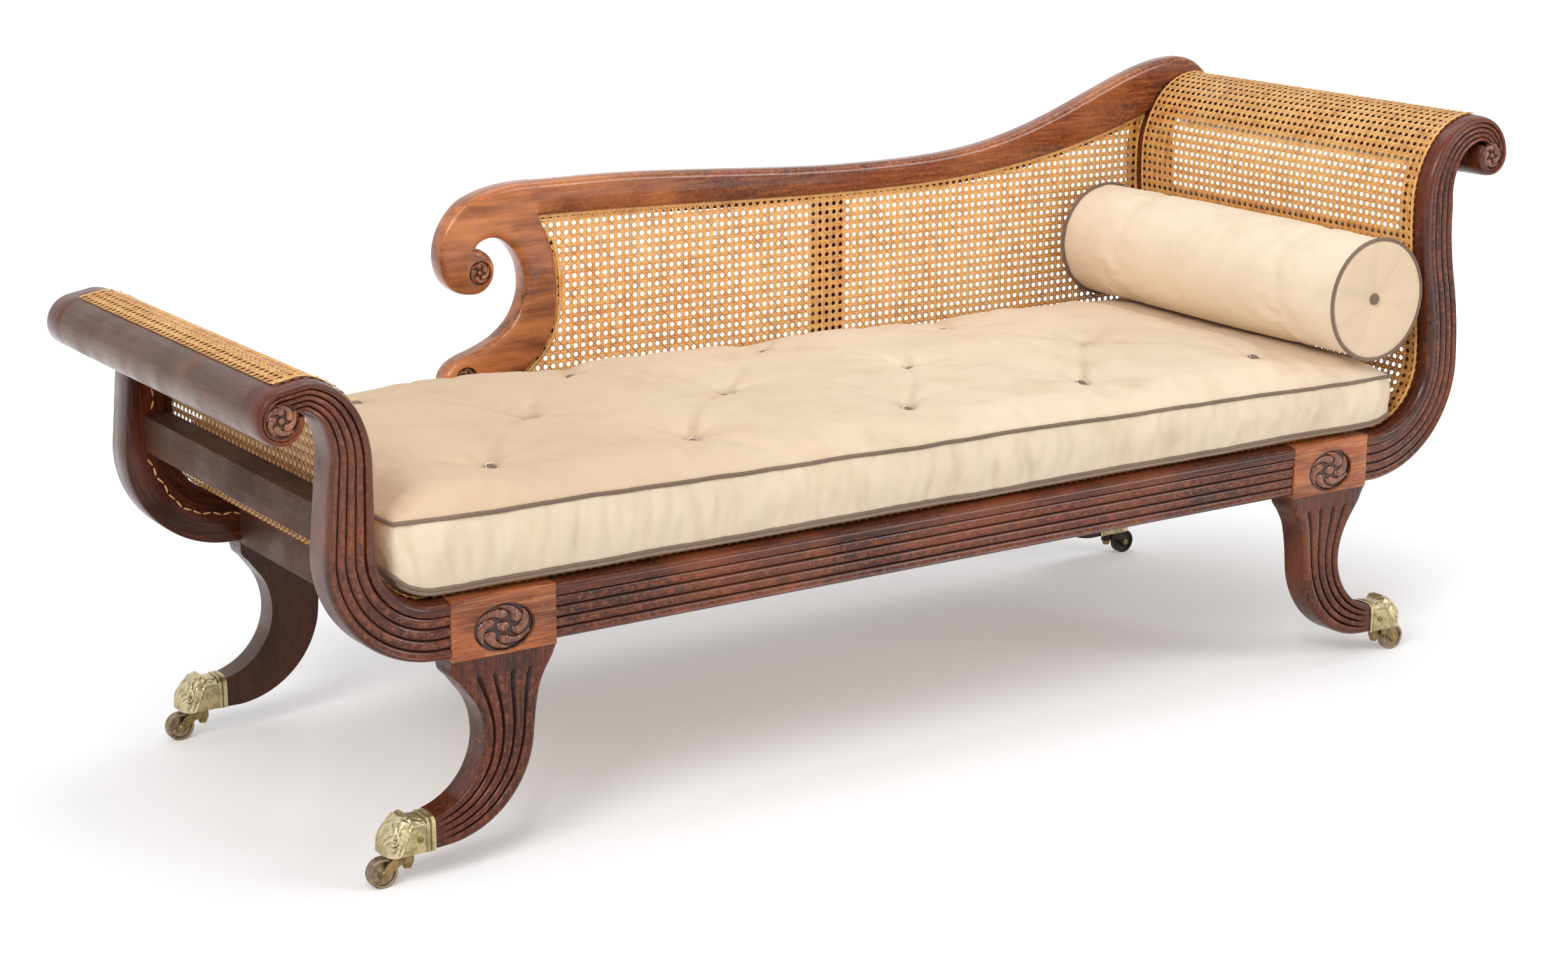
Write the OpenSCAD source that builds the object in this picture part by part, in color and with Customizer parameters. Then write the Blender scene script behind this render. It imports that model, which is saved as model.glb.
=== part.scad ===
// Cane-panelled recamier: reeded scroll ends, sabre legs, brass sabots and swivel castors.
// X runs from the foot end (low scroll) to the head end (high scroll), Y from front to back.
// The origin is on the floor, under the middle of the bounding box.

/* [Overall] */
// Distance between the foot-end and head-end leg blocks, centre to centre
leg_span = 1310; // [1200:10:1420]
// Depth from the front face to the rear face
depth = 645; // [600:5:700]
// Height of the seat frame's top edge above the floor
seat_z = 337; // [330:1:344]

/* [Seat frame] */
// Height of the seat rails
rail_h = 71; // [68:1:74]
// Thickness of rails and scroll frames, front to back
frame_t = 46; // [42:1:50]
// Width of the square blocks above the legs
block_w = 138; // [130:1:146]
// How far a block reaches below the rails
block_drop = 4; // [2:0.5:6]
// Depth of the grooves between the reeds
reed_depth = 5; // [3:0.5:6]
// Rounding of the moulding's seat side edge
seat_bead_r = 18; // [14:1:20]
// Rounding of the moulding's outer edge
outer_bead_r = 12; // [9:1:14]
// Thickness of the rails that join front and rear frames under the cane
end_rail_t = 34; // [28:1:40]
// Drop of the end rails and battens below the seat frame's top
under_drop = 10; // [6:1:14]
// Width of a seat batten
batten_w = 48; // [40:1:56]
// Thickness of a seat batten
batten_t = 22; // [18:1:26]
// Height of the rails across the ends, behind the cane
upper_rail_h = 48; // [40:1:56]
// Thickness of the rails across the ends, behind the cane
upper_rail_t = 36; // [30:1:40]
// Gap between an end's upper rail and the cane before it
upper_rail_gap = 1.6; // [1:0.2:3]
// Height of the foot end's upper rail above the seat
foot_rail_rise = 67; // [60:1:80]
// Height of the head end's upper rail above the seat
head_rail_rise = 215; // [200:5:230]

/* [Foot scroll] */
// Level run before the foot bend
foot_start_l = 17; // [12:1:22]
// Radius of the bend from seat to foot post, seat side
foot_bend_r = 70; // [66:1:76]
// Straight height of the foot post
foot_post_h = 104; // [90:2:120]
// Radius where the foot post starts to roll over
foot_lean_r = 130; // [124:1:136]
// Radius of the foot scroll's shoulder
foot_shoulder_r = 85; // [81:1:89]
// Radius of the foot scroll's crown
foot_crown_r = 45; // [43:1:47]
// Straight run on top of the foot scroll
foot_top_l = 26; // [24:1:29]
// Radius of the foot volute's outer quarter
foot_volute_r = 36; // [35:0.5:37]
// Radius of the foot volute's eye
foot_eye_r = 30; // [29.5:0.5:31]

/* [Head scroll] */
// Level run before the head bend
head_start_l = 19; // [14:1:24]
// Radius of the bend from seat to head post, seat side
head_bend_r = 93; // [88:1:98]
// Radius of the two sways of the head post
head_sway_r = 500; // [480:10:520]
// Straight neck of the head post
head_neck_l = 10; // [6:1:14]
// Radius where the head post starts to roll over
head_lean_r = 135; // [132:1:138]
// Radius of the head scroll's shoulder
head_shoulder_r = 90; // [88:1:92]
// Radius of the head volute's outer quarter
head_volute_r = 58; // [57:0.5:60]
// Radius of the head volute's eye
head_eye_r = 30; // [29.5:0.5:31]

/* [Legs] */
// Thickness of a leg at the block, front to back
leg_t = 42; // [41:0.5:43]
// Thickness of a leg at the ankle, front to back
ankle_t = 38; // [37:0.5:39]
// Setback of a leg's outer face from the block's
leg_setback = 2; // [1:0.5:3]
// Rounding of a leg's edges
leg_edge_r = 6; // [4:0.5:7]
// Radius of a leg's hollow outer edge
leg_hollow_r = 88; // [86:1:90]
// Distance of the hollow's centre outward from the block's centre
leg_hollow_x = 115; // [113:1:117]
// Radius of a leg's rounded inner edge
leg_round_r = 126; // [124:1:128]
// Distance of the round's centre outward from the block's centre
leg_round_x = 86; // [84:1:88]
// Clearance between a turning wheel and the leg above it
wheel_clear = 2; // [2:0.25:3]

/* [Sabots and castors] */
// Distance of the sabot's rim outward from the block's centre
rim_x = 96; // [95:0.5:97]
// Length of a sabot
sabot_l = 64; // [60:1:68]
// Width of a sabot, front to back
sabot_w = 42; // [41:0.5:44]
// Length of the leg's tenon in the sabot
tenon_l = 36; // [30:1:38]
// Width and height of the leg's tenon in the sabot
tenon_s = 24; // [20:1:26]
// Radius of a castor wheel
wheel_r = 18.5; // [17.5:0.25:19]
// Width of a castor wheel
wheel_w = 14; // [12:0.5:15]
// Distance from swivel pin to wheel axle
trail = 33; // [32.5:0.25:35]
// Distance of the swivel pin outward from the block's centre
swivel_x = 124; // [122:0.5:126]
// Radius of the swivel pin
pin_r = 4; // [3.5:0.25:4.5]
// Radius of the swivel pin's riveted end
pin_head_r = 7; // [6.5:0.25:7.5]
// Height of the swivel pin's riveted end
pin_head_h = 7; // [5:0.5:8]
// Radius of the horn's collar
collar_r = 8; // [7.5:0.25:9]
// Height of the horn's collar
collar_h = 14; // [13:0.5:15]
// Thickness of a horn's arm
arm_t = 3; // [2.5:0.25:4]
// Radius of a horn's boss round the axle
boss_r = 6.5; // [6:0.25:7]
// Radius of the wheel axle
axle_r = 3.2; // [2.8:0.1:3.6]
// Thickness of an axle's riveted end
axle_head_t = 1.4; // [1:0.2:2]
// Running clearance round pin and axle
run_gap = 0.06; // [0.03:0.01:0.09]
// Side clearance between turning castor parts
side_gap = 0.4; // [0.3:0.05:0.6]
// Radius of a sabot's screw head
screw_r = 4; // [3:0.25:4.5]
// Height of a sabot's screw head
screw_h = 1.2; // [0.8:0.1:1.6]

/* [Back] */
// Thickness of the crest and back scroll, front to back
back_t = 32; // [28:1:34]
// Lowest height of the crest rail's top edge
crest_low_z = 679; // [672:1:686]
// Rise of the crest from its lowest point to its peak at the head end
crest_rise = 119; // [116:1:122]
// Height of the crest above its lowest point at the back scroll
crest_left_rise = 21; // [18:1:24]
// Least height of the crest rail itself
crest_h = 39; // [36:1:42]
// Radius of the crest's nose over the head scroll
crest_nose_r = 75; // [73:1:77]
// Rounding of the crest's upper edges
crest_edge_r = 10; // [6:1:12]
// Height of the back's bottom rail
back_rail_h = 70; // [66:1:72]
// Distance from the middle of the legs to the back scroll's joint with the crest
joint_x = 264; // [250:2:280]
// Width of the back's vertical batten
back_batten_w = 50; // [44:1:56]
// Thickness of the back's vertical batten
back_batten_t = 13; // [10:1:14]

/* [Cane] */
// Thickness of the woven cane
cane_t = 2.4; // [2:0.1:3]
// Distance from the front face to the cane's front edge
cane_front = 22; // [20:1:26]
// Distance from the rear face to the cane's rear edge
cane_rear = 40; // [38:1:44]
// Setback of the back's cane from the crest's front face
cane_setback = 8; // [6:0.5:10]
// Pitch of the openings in the back's net
net_pitch = 44; // [42:1:50]
// Radius of an opening in the back's net
net_hole_r = 15; // [12:0.5:16]

/* [Cushion and bolster] */
// Distance from the foot post to the cushion's foot end
cushion_foot_gap = 20; // [16:1:40]
// Distance from the head post to the cushion's head end
cushion_head_gap = 55; // [50:1:70]
// Clearance between the cushion and the rear frame
cushion_rear_gap = 3; // [2:0.5:8]
// Height of the cushion's upper piping above its underside
cushion_h = 84; // [76:1:90]
// Height of the cushion's crown above its upper piping
cushion_crown = 34; // [26:1:38]
// How much lower the cushion's head end lies than its foot end
cushion_slope = 20; // [10:1:24]
// Distance from the front face to the cushion's front edge
cushion_front = 8; // [4:1:12]
// How far the cushion's sides are drawn in between the pipings
cushion_draw = 4; // [2:0.5:6]
// Depth of a tuft
tuft_depth = 22; // [14:1:26]
// Radius of the piping
piping_r = 3; // [2.5:0.25:3.5]
// Radius of the bolster
bolster_r = 86; // [84:0.5:87]
// Distance from the front face to the bolster's front end
bolster_front = 2; // [1:0.5:8]
// Clearance between the bolster and the rear frame
bolster_rear_gap = 1; // [1:0.5:6]
// Gap between the bolster and the head end's cane
bolster_head_gap = 3.5; // [2:0.25:8]
// Depth of the dished ends of the bolster
bolster_dish = 8; // [4:0.5:10]
// Radius of a covered button
button_r = 8; // [6:0.5:9]
// Height of a covered button
button_h = 5; // [4:0.5:6]

/* [Rosettes] */
// Radius of the rosettes on the scroll ends
rosette_r = 20; // [18:0.5:21]
// Half width of the oval rosettes on the front blocks
oval_x = 40; // [36:1:44]
// Half height of the oval rosettes on the front blocks
oval_z = 29; // [26:1:31]
// Radius of the small rosettes on the back scroll
back_rosette_r = 17; // [15:0.5:18]
// Height of the carving in a rosette
carve_h = 5; // [4:0.5:6]
// Fit of a rosette in its sinking
rosette_fit = 0.35; // [0.2:0.05:0.5]

/* [Hidden] */
$fn = 48;

mahogany = [0.36, 0.17, 0.09];
dark_mahogany = [0.25, 0.12, 0.07];
cane_gold = [0.82, 0.63, 0.33];
aged_brass = [0.62, 0.56, 0.33];
worn_metal = [0.45, 0.34, 0.26];
cream = [0.91, 0.84, 0.72];
taupe = [0.47, 0.39, 0.34];

// Clear gap between soft parts and their neighbours
soft_gap = 0.3;
// Overrun of a cutting solid past the face it cuts
overrun = 1;

// Walks along arcs and lines. A stretch is [radius or length, turn, steps, width at its end].
// A station is [u, z, heading, width], with u measured outward from the middle of the legs.
function left_of(h) = [-sin(h), cos(h)];
function ahead(h) = [cos(h), sin(h)];
function stretch_point(s, p, h, f) =
    let (side = sign(s[1]))
    side == 0 ? p + s[0] * f * ahead(h)
              : p + side * s[0] * (left_of(h) - left_of(h + s[1] * f));
function walk(stretches, p, h, w, i = 0) =
    i == len(stretches) ? [[p.x, p.y, h, w]] :
    let (s = stretches[i])
    concat([for (k = [0:s[2] - 1])
               let (f = k / s[2], q = stretch_point(s, p, h, f))
               [q.x, q.y, h + s[1] * f, w + (s[3] - w) * f]],
           walk(stretches, stretch_point(s, p, h, 1), h + s[1], s[3], i + 1));
function first_of(stretches, k) = k == 0 ? 0 : stretches[k - 1][2] + first_of(stretches, k - 1);
function near_point(s) = [s[0], s[1]];
function far_point(s, share = 1) = near_point(s) - share * s[3] * left_of(s[2]);
function lifted_point(s, t) = near_point(s) + t * left_of(s[2]);
function reversed(list) = [for (i = [len(list) - 1:-1:0]) list[i]];
function band(stations) =
    concat([for (s = stations) near_point(s)], reversed([for (s = stations) far_point(s)]));
function smooth_share(t) = let (c = min(1, max(0, t))) c * c * (3 - 2 * c);

// Scroll centre lines, from the leg block outward
foot_width_shares = [1, 1, 0.9, 0.76, 0.66, 0.535, 0.48, 0.465, 0.41, 0.405, 0.395];
head_width_shares = [1, 1, 0.845, 0.817, 0.82, 0.82, 0.66, 0.535, 0.415, 0.41, 0.4];
function foot_w(k) = rail_h * foot_width_shares[k];
function head_w(k) = rail_h * head_width_shares[k];
foot_turns = [0, 90, 0, -28, -42, -30, 0, -80, -90, -98];
head_turns = [0, 90, 12.3, -12.3, 0, -40, -50, -90, -90, -130];
foot_steps = [1, 8, 2, 3, 4, 3, 1, 6, 6, 6];
head_steps = [1, 9, 3, 3, 1, 4, 5, 7, 6, 8];
foot_runs = [foot_start_l, foot_bend_r, foot_post_h, foot_lean_r, foot_shoulder_r,
             foot_crown_r, foot_top_l, foot_volute_r, foot_eye_r, foot_eye_r - overrun];
head_runs = [head_start_l, head_bend_r, head_sway_r, head_sway_r, head_neck_l,
             head_lean_r, head_shoulder_r, head_volute_r, head_eye_r, head_eye_r - overrun];
foot_stretches = [for (k = [0:len(foot_runs) - 1])
    [foot_runs[k], foot_turns[k], foot_steps[k], foot_w(k + 1)]];
head_stretches = [for (k = [0:len(head_runs) - 1])
    [head_runs[k], head_turns[k], head_steps[k], head_w(k + 1)]];
post_start_u = leg_span / 2 + block_w / 2;
foot_stations = walk(foot_stretches, [post_start_u, seat_z], 0, foot_w(0));
head_stations = walk(head_stretches, [post_start_u, seat_z], 0, head_w(0));
foot_reach = max([for (s = foot_stations) s[0]]);
head_reach = max([for (s = head_stations) s[0]]);
// The middle of the legs lies this far off the middle of the bounding box
mid_x = (foot_reach - head_reach) / 2;

// Stations where the end panels' cane starts and stops, and where the volutes' eyes turn
bend_first = foot_steps[0];
foot_cane_last = first_of(foot_stretches, 7);
head_cane_last = first_of(head_stretches, 7) + 1;
foot_eye_first = first_of(foot_stretches, 8);
head_eye_first = first_of(head_stretches, 8);
function eye_centre(stations, first, r) = lifted_point(stations[first], -r);
foot_eye = eye_centre(foot_stations, foot_eye_first, foot_eye_r);
head_eye = eye_centre(head_stations, head_eye_first, head_eye_r);
head_neck = near_point(head_stations[first_of(head_stretches, 4)]);

rail_bottom_z = seat_z - rail_h;
block_bottom_z = rail_bottom_z - block_drop;
inner_y = depth / 2 - frame_t;
rail_l = leg_span - block_w;
rosette_z = seat_z - (rail_h + block_drop) * 0.57;

// Places a piece by its end (-1 foot, 1 head), in outward coordinates
module at_end(end) {
    translate([mid_x, 0, 0])
        mirror([end < 0 ? 1 : 0, 0, 0])
            children();
}

// Places a piece at a corner, u outward from the block's centre, y inward from the outer face
module at_corner(end, row) {
    translate([mid_x + end * leg_span / 2, row * depth / 2, 0])
        mirror([end < 0 ? 1 : 0, 0, 0])
            mirror([0, row > 0 ? 1 : 0, 0])
                children();
}

module at_corners() {
    for (end = [-1, 1], row = [-1, 1])
        at_corner(end, row)
            children();
}

// Stands an outline drawn in u and z on edge, from y0 towards the back for a thickness t
module upright(y0, t) {
    translate([0, y0 + t, 0])
        rotate([90, 0, 0])
            linear_extrude(height = t)
                children();
}

// Joins rings of equal counts into one closed skin
module skin(rings) {
    n = len(rings[0]);
    m = len(rings);
    polyhedron(
        points = [for (r = rings) each r],
        faces = concat(
            [[for (i = [0:n - 1]) i]],
            [for (j = [0:m - 2], i = [0:n - 1]) let (k = (i + 1) % n)
                each [[j * n + i, j * n + n + i, j * n + k],
                      [j * n + k, j * n + n + i, j * n + n + k]]],
            [[for (i = [n:-1:1]) (m - 1) * n + i % n]]),
        convexity = 6);
}

// Section of the reeded moulding: [share of the width, depth], seat side first
seat_bead_shares = [[0, 1], [0.02, 0.5], [0.07, 0.17], [0.14, 0]];
groove_shares = [0.24, 0.43, 0.62, 0.8];
flank_share = 0.04;
flank_depth_share = 0.2;
outer_bead_shares = [[0.95, 0.2], [0.985, 0.55], [1, 1]];
last_reed_share = 0.98;
function flank(g, side) = [g + side * flank_share, flank_depth_share * reed_depth];
function reed_top(i) =
    [(groove_shares[i] + (i + 1 < len(groove_shares) ? groove_shares[i + 1] : last_reed_share)) / 2, 0];
bead_count = len(seat_bead_shares);
reed_count = len(groove_shares) * 4;
reed_section = concat(
    [for (s = seat_bead_shares) [s[0], s[1] * seat_bead_r]],
    [for (i = [0:len(groove_shares) - 1])
        each [flank(groove_shares[i], -1), [groove_shares[i], reed_depth],
              flank(groove_shares[i], 1), reed_top(i)]],
    [for (s = outer_bead_shares) [s[0], s[1] * outer_bead_r]],
    [[1, frame_t], [0, frame_t]]);

// The reeds fade out round the eye of a volute
fade_count = 14;
fade_floor_share = 0.1;
function fade(i, count) = max(fade_floor_share, min(1, (count - i) / fade_count));
function is_reed(i) = i >= bead_count && i < bead_count + reed_count;
function reeded_ring(s, k) =
    [for (i = [0:len(reed_section) - 1])
        let (p = reed_section[i], q = far_point(s, p[0]))
        [q.x, p[1] * (is_reed(i) ? k : 1) - depth / 2, q.y]];

// Round sinking for a rosette, in a front face at y0
module round_sinking(centre, r, y0) {
    translate([centre.x, y0 + carve_h, centre.y])
        rotate([90, 0, 0])
            cylinder(r = r, h = carve_h + overrun);
}

module reeded_scroll(stations, eye) {
    count = len(stations);
    difference() {
        skin([for (i = [0:count - 1]) reeded_ring(stations[i], fade(i, count))]);
        round_sinking(eye, rosette_r, -depth / 2);
    }
}

module plain_scroll(stations) {
    upright(inner_y, frame_t)
        polygon(band(stations));
}

module foot_scroll_front() {
    color(mahogany)
        at_end(-1)
            reeded_scroll(foot_stations, foot_eye);
}

module foot_scroll_rear() {
    color(mahogany)
        at_end(-1)
            plain_scroll(foot_stations);
}

module head_scroll_front() {
    color(mahogany)
        at_end(1)
            reeded_scroll(head_stations, head_eye);
}

module head_scroll_rear() {
    color(mahogany)
        at_end(1)
            plain_scroll(head_stations);
}

// Long rails: the front one carries the same reeds as the scrolls
module front_rail() {
    color(mahogany)
        translate([mid_x - rail_l / 2, 0, 0])
            rotate([90, 0, 90])
                linear_extrude(height = rail_l)
                    polygon([for (p = reed_section) [p[1] - depth / 2, seat_z - p[0] * rail_h]]);
}

module rear_rail() {
    color(dark_mahogany)
        translate([mid_x - rail_l / 2, inner_y, rail_bottom_z])
            cube([rail_l, frame_t, rail_h]);
}

// Rails between front and rear blocks, below the cane
module end_rail(end) {
    color(dark_mahogany)
        at_end(end)
            translate([post_start_u - end_rail_t, -inner_y, block_bottom_z])
                cube([end_rail_t, 2 * inner_y, seat_z - under_drop - block_bottom_z]);
}

module foot_end_rail() {
    end_rail(-1);
}

module head_end_rail() {
    end_rail(1);
}

// Dished battens between the long rails
batten_count = 2;
dish_steps = 8;
module seat_battens() {
    pitch = rail_l / (batten_count + 1);
    dish = batten_t / 2;
    top = seat_z - under_drop;
    across = [for (i = [0:dish_steps]) 2 * i / dish_steps - 1];
    color(dark_mahogany)
        for (i = [1:batten_count])
            translate([mid_x - rail_l / 2 + i * pitch - batten_w / 2, 0, 0])
                rotate([90, 0, 90])
                    linear_extrude(height = batten_w)
                        polygon(concat(
                            [for (f = across) [f * inner_y, top - dish * (1 - f * f)]],
                            [for (f = reversed(across))
                                [f * inner_y, top - batten_t - dish * (1 - f * f)]]));
}

// Rails across the ends, behind the cane at mid height
module upper_rail(end, u, rise) {
    color(dark_mahogany)
        at_end(end)
            translate([u + upper_rail_gap, -inner_y, seat_z + rise])
                cube([upper_rail_t, 2 * inner_y, upper_rail_h]);
}

module foot_upper_rail() {
    upper_rail(-1, post_start_u + foot_start_l + foot_bend_r, foot_rail_rise);
}

// The head post leans inward, so this rail stands off where its lower edge meets the sway
module head_upper_rail() {
    below_neck = head_neck.y - seat_z - head_rail_rise;
    upper_rail(1, head_neck.x + head_sway_r - sqrt(pow(head_sway_r, 2) - pow(below_neck, 2)),
               head_rail_rise);
}

// Boards that fill the rolls between the volutes, carrying the cane's last run
function roll_outline(stations, first) =
    [for (i = [first:len(stations) - 1]) near_point(stations[i])];

module roll_board(end, stations, first) {
    color(mahogany)
        at_end(end)
            upright(-inner_y, 2 * inner_y)
                polygon(roll_outline(stations, first));
}

module foot_roll_board() {
    roll_board(-1, foot_stations, foot_cane_last - 1);
}

module head_roll_board() {
    roll_board(1, head_stations, head_cane_last - 2);
}

// Leg blocks: the front ones have an oval sinking for a rosette
oval_steps = 21;
function oval(rx, ry) =
    [for (i = [0:oval_steps - 1]) [rx * cos(360 * i / oval_steps), ry * sin(360 * i / oval_steps)]];

module block(end, row) {
    color(mahogany)
        at_corner(end, row)
            difference() {
                translate([-block_w / 2, 0, block_bottom_z])
                    cube([block_w, frame_t, seat_z - block_bottom_z]);
                if (row < 0)
                    translate([0, carve_h, rosette_z])
                        rotate([90, 0, 0])
                            linear_extrude(height = carve_h + overrun)
                                polygon(oval(oval_x, oval_z));
            }
}

module block_foot_front() {
    block(-1, -1);
}

module block_foot_rear() {
    block(-1, 1);
}

module block_head_front() {
    block(1, -1);
}

module block_head_rear() {
    block(1, 1);
}

// Legs: a sabre curve between a hollow arc outside and a round arc inside
leg_centre_z = 2 * wheel_r + wheel_clear + leg_round_r;
knee_h = block_bottom_z - leg_centre_z;
function hollow_point(a) = [leg_hollow_x, leg_centre_z] + leg_hollow_r * ahead(a);
function round_point(a) = [leg_round_x, leg_centre_z] + leg_round_r * ahead(a);
hollow_end = 360 - acos((rim_x - leg_hollow_x) / leg_hollow_r);
round_end = 270 + asin((rim_x - leg_round_x) / leg_round_r);
ankle_top_z = hollow_point(hollow_end).y;
ankle_bottom_z = round_point(round_end).y;
// Knee rings: shares of the block's half width and of the knee's height, outer then inner
knee_shares = [[[1, 1], [-1, 1]], [[0.978, 0.835], [-0.986, 0.876]], [[0.84, 0.722], [-0.84, 0.732]]];
hollow_starts = [137, 152, 166];
knee_inner_shares = [[-0.71, 0.557], [-0.652, 0.392], [-0.601, 0.175]];
shin_steps = 8;
function knee_point(s) = [s[0] * block_w / 2, leg_centre_z + s[1] * knee_h];
leg_rings = concat(
    [for (s = knee_shares) [knee_point(s[0]), knee_point(s[1])]],
    [for (i = [0:2]) [hollow_point(hollow_starts[i]), knee_point(knee_inner_shares[i])]],
    [for (i = [0:shin_steps]) let (f = i / shin_steps)
        [hollow_point(180 + (hollow_end - 180) * f), round_point(180 + (round_end - 180) * f)]]);

// Section of a reeded leg: [share across, depth], outer edge first
leg_groove_shares = [0.22, 0.4, 0.6, 0.79];
leg_flank_share = 0.04;
leg_land_shares = [0.1, 0.31, 0.5, 0.695, 0.9];
leg_edge_shares = [[0, 1], [0.04, 0.25]];
leg_groove_depth = 4;
leg_edge_points = [for (s = leg_edge_shares) [s[0], s[1] * leg_edge_r]];
leg_groove_points = [for (i = [0:len(leg_groove_shares) - 1]) let (g = leg_groove_shares[i])
    each [[leg_land_shares[i], 0], [g - leg_flank_share, 0],
          [g, leg_groove_depth], [g + leg_flank_share, 0]]];
leg_last_points = concat([[leg_land_shares[4], 0]],
    [for (p = reversed(leg_edge_points)) [1 - p[0], p[1]]]);
leg_section = concat(leg_edge_points, leg_groove_points, leg_last_points);
plain_section = concat(leg_edge_points, [for (p = reversed(leg_edge_points)) [1 - p[0], p[1]]]);

// Grooves run out before the block and before the sabot
function groove_run(i) = i < 2 ? 0 : i == 2 ? 0.5 : i > len(leg_rings) - 3 ? 0 : 1;
function leg_ring(i, section) =
    let (r = leg_rings[i], across = r[1] - r[0], f = i / (len(leg_rings) - 1))
    let (t = leg_t + (ankle_t - leg_t) * f, k = groove_run(i), edge = i == 0 ? 0 : 1)
    concat(
        [[r[0].x, leg_setback + t, r[0].y]],
        [for (p = section) let (q = r[0] + across * p[0])
            [q.x, leg_setback + p[1] * (p[1] == leg_groove_depth ? k : edge), q.y]],
        [[r[1].x, leg_setback + t, r[1].y]]);

ankle_y = leg_setback + ankle_t / 2;
tenon_z = (ankle_top_z + ankle_bottom_z) / 2;
function tenon_ring(x, section) =
    let (near_y = ankle_y - tenon_s / 2, far_y = ankle_y + tenon_s / 2)
    let (top = tenon_z + tenon_s / 2, bottom = tenon_z - tenon_s / 2)
    concat([[x, far_y, top]],
           [for (p = section) [x, near_y, top - tenon_s * p[0]]],
           [[x, far_y, bottom]]);

module leg(end, row) {
    section = row < 0 ? leg_section : plain_section;
    color(mahogany)
        at_corner(end, row)
            skin(concat(
                [for (i = [0:len(leg_rings) - 1]) leg_ring(i, section)],
                [tenon_ring(rim_x, section), tenon_ring(rim_x + tenon_l, section)]));
}

module leg_foot_front() {
    leg(-1, -1);
}

module leg_foot_rear() {
    leg(-1, 1);
}

module leg_head_front() {
    leg(1, -1);
}

module leg_head_rear() {
    leg(1, 1);
}

// Sabots: a ribbed rim, a plain panel and a foliate nose with lappets.
// A ring is [share of the length, of the half width, of the height, of the rise below, lappets]
sabot_shares = [
    [0, 1, 1, 0, 0], [0.07, 1, 1, 0, 0], [0.09, 0.93, 0.95, 0, 0], [0.115, 1, 1, 0, 0],
    [0.165, 1, 1, 0, 0], [0.185, 0.93, 0.94, 0, 0], [0.42, 0.93, 0.94, 0, 0],
    [0.5, 0.96, 1.12, 0, 0.5], [0.62, 0.92, 1.16, 0, 1], [0.74, 0.9, 0.98, 0, 1],
    [0.86, 0.8, 0.8, 0, 1], [0.94, 0.6, 0.62, 0.08, 0.8], [1, 0.3, 0.42, 0.2, 0.4]];
sabot_wall = 2.4;
sabot_h = ankle_top_z - ankle_bottom_z + sabot_wall;
lappet_share = 0.08;
// Side points of a ring: [share of the half width, share of the height, lappet sign]
sabot_side_shares = [[1, 0, 0], [1, 0.22, 1], [1, 0.44, -1], [1, 0.66, 1], [0.96, 0.86, -1],
    [0.72, 0.97, 1], [0.36, 1, -1]];
function sabot_ring(s) =
    let (hw = s[1] * sabot_w / 2, bottom = s[3] * sabot_h, h = s[2] * sabot_h - bottom)
    let (half = [for (p = sabot_side_shares)
        let (k = 1 + lappet_share * s[4] * p[2])
        [hw * p[0] * k, bottom + h * p[1] * (p[1] > 0.8 ? k : 1)]])
    let (x = rim_x + s[0] * sabot_l, top = bottom + h * (1 + lappet_share * s[4]))
    concat([[x, ankle_y, ankle_bottom_z + bottom]],
           [for (p = half) [x, ankle_y - p.x, ankle_bottom_z + p.y]],
           [[x, ankle_y, ankle_bottom_z + top]],
           [for (p = reversed(half)) [x, ankle_y + p.x, ankle_bottom_z + p.y]]);
pin_hole_h = 4;

module tenon_pocket() {
    translate([rim_x - overrun, ankle_y - tenon_s / 2, tenon_z - tenon_s / 2])
        cube([tenon_l + overrun, tenon_s, tenon_s]);
}

module sabot(end, row) {
    color(aged_brass)
        at_corner(end, row)
            difference() {
                skin(reversed([for (s = sabot_shares) sabot_ring(s)]));
                tenon_pocket();
                translate([swivel_x, ankle_y, ankle_bottom_z - overrun])
                    cylinder(r = pin_r, h = pin_hole_h + overrun);
            }
}

module sabot_foot_front() {
    sabot(-1, -1);
}

module sabot_foot_rear() {
    sabot(-1, 1);
}

module sabot_head_front() {
    sabot(1, -1);
}

module sabot_head_rear() {
    sabot(1, 1);
}

// One slotted screw in the plain panel, on the sabot's outer side
screw_place_shares = [0.3, 0.4];
panel_share = 0.93;
slot_share = 0.3;
module sabot_screws() {
    color(worn_metal)
        at_corners()
            translate([rim_x + screw_place_shares.x * sabot_l,
                       ankle_y - panel_share * sabot_w / 2,
                       ankle_bottom_z + screw_place_shares.y * sabot_h])
                rotate([90, 0, 0])
                    difference() {
                        cylinder(r = screw_r, h = screw_h);
                        translate([-screw_r - overrun, -slot_share * screw_r / 2, screw_h / 2])
                            cube([2 * (screw_r + overrun), slot_share * screw_r, screw_h]);
                    }
}

// Castors: a pin riveted in the sabot, a horn that turns on it, and a wheel on an axle
collar_top_z = ankle_bottom_z - side_gap;
collar_bottom_z = collar_top_z - collar_h;
arm_y = wheel_w / 2 + side_gap;
module swivel_pins() {
    color(worn_metal)
        at_corners()
            translate([swivel_x, ankle_y, 0]) {
                translate([0, 0, collar_bottom_z - side_gap])
                    cylinder(r = pin_r, h = ankle_bottom_z + pin_hole_h - collar_bottom_z + side_gap);
                translate([0, 0, collar_bottom_z - side_gap - pin_head_h])
                    cylinder(r1 = pin_head_r * 0.7, r2 = pin_head_r, h = pin_head_h);
            }
}

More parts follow.
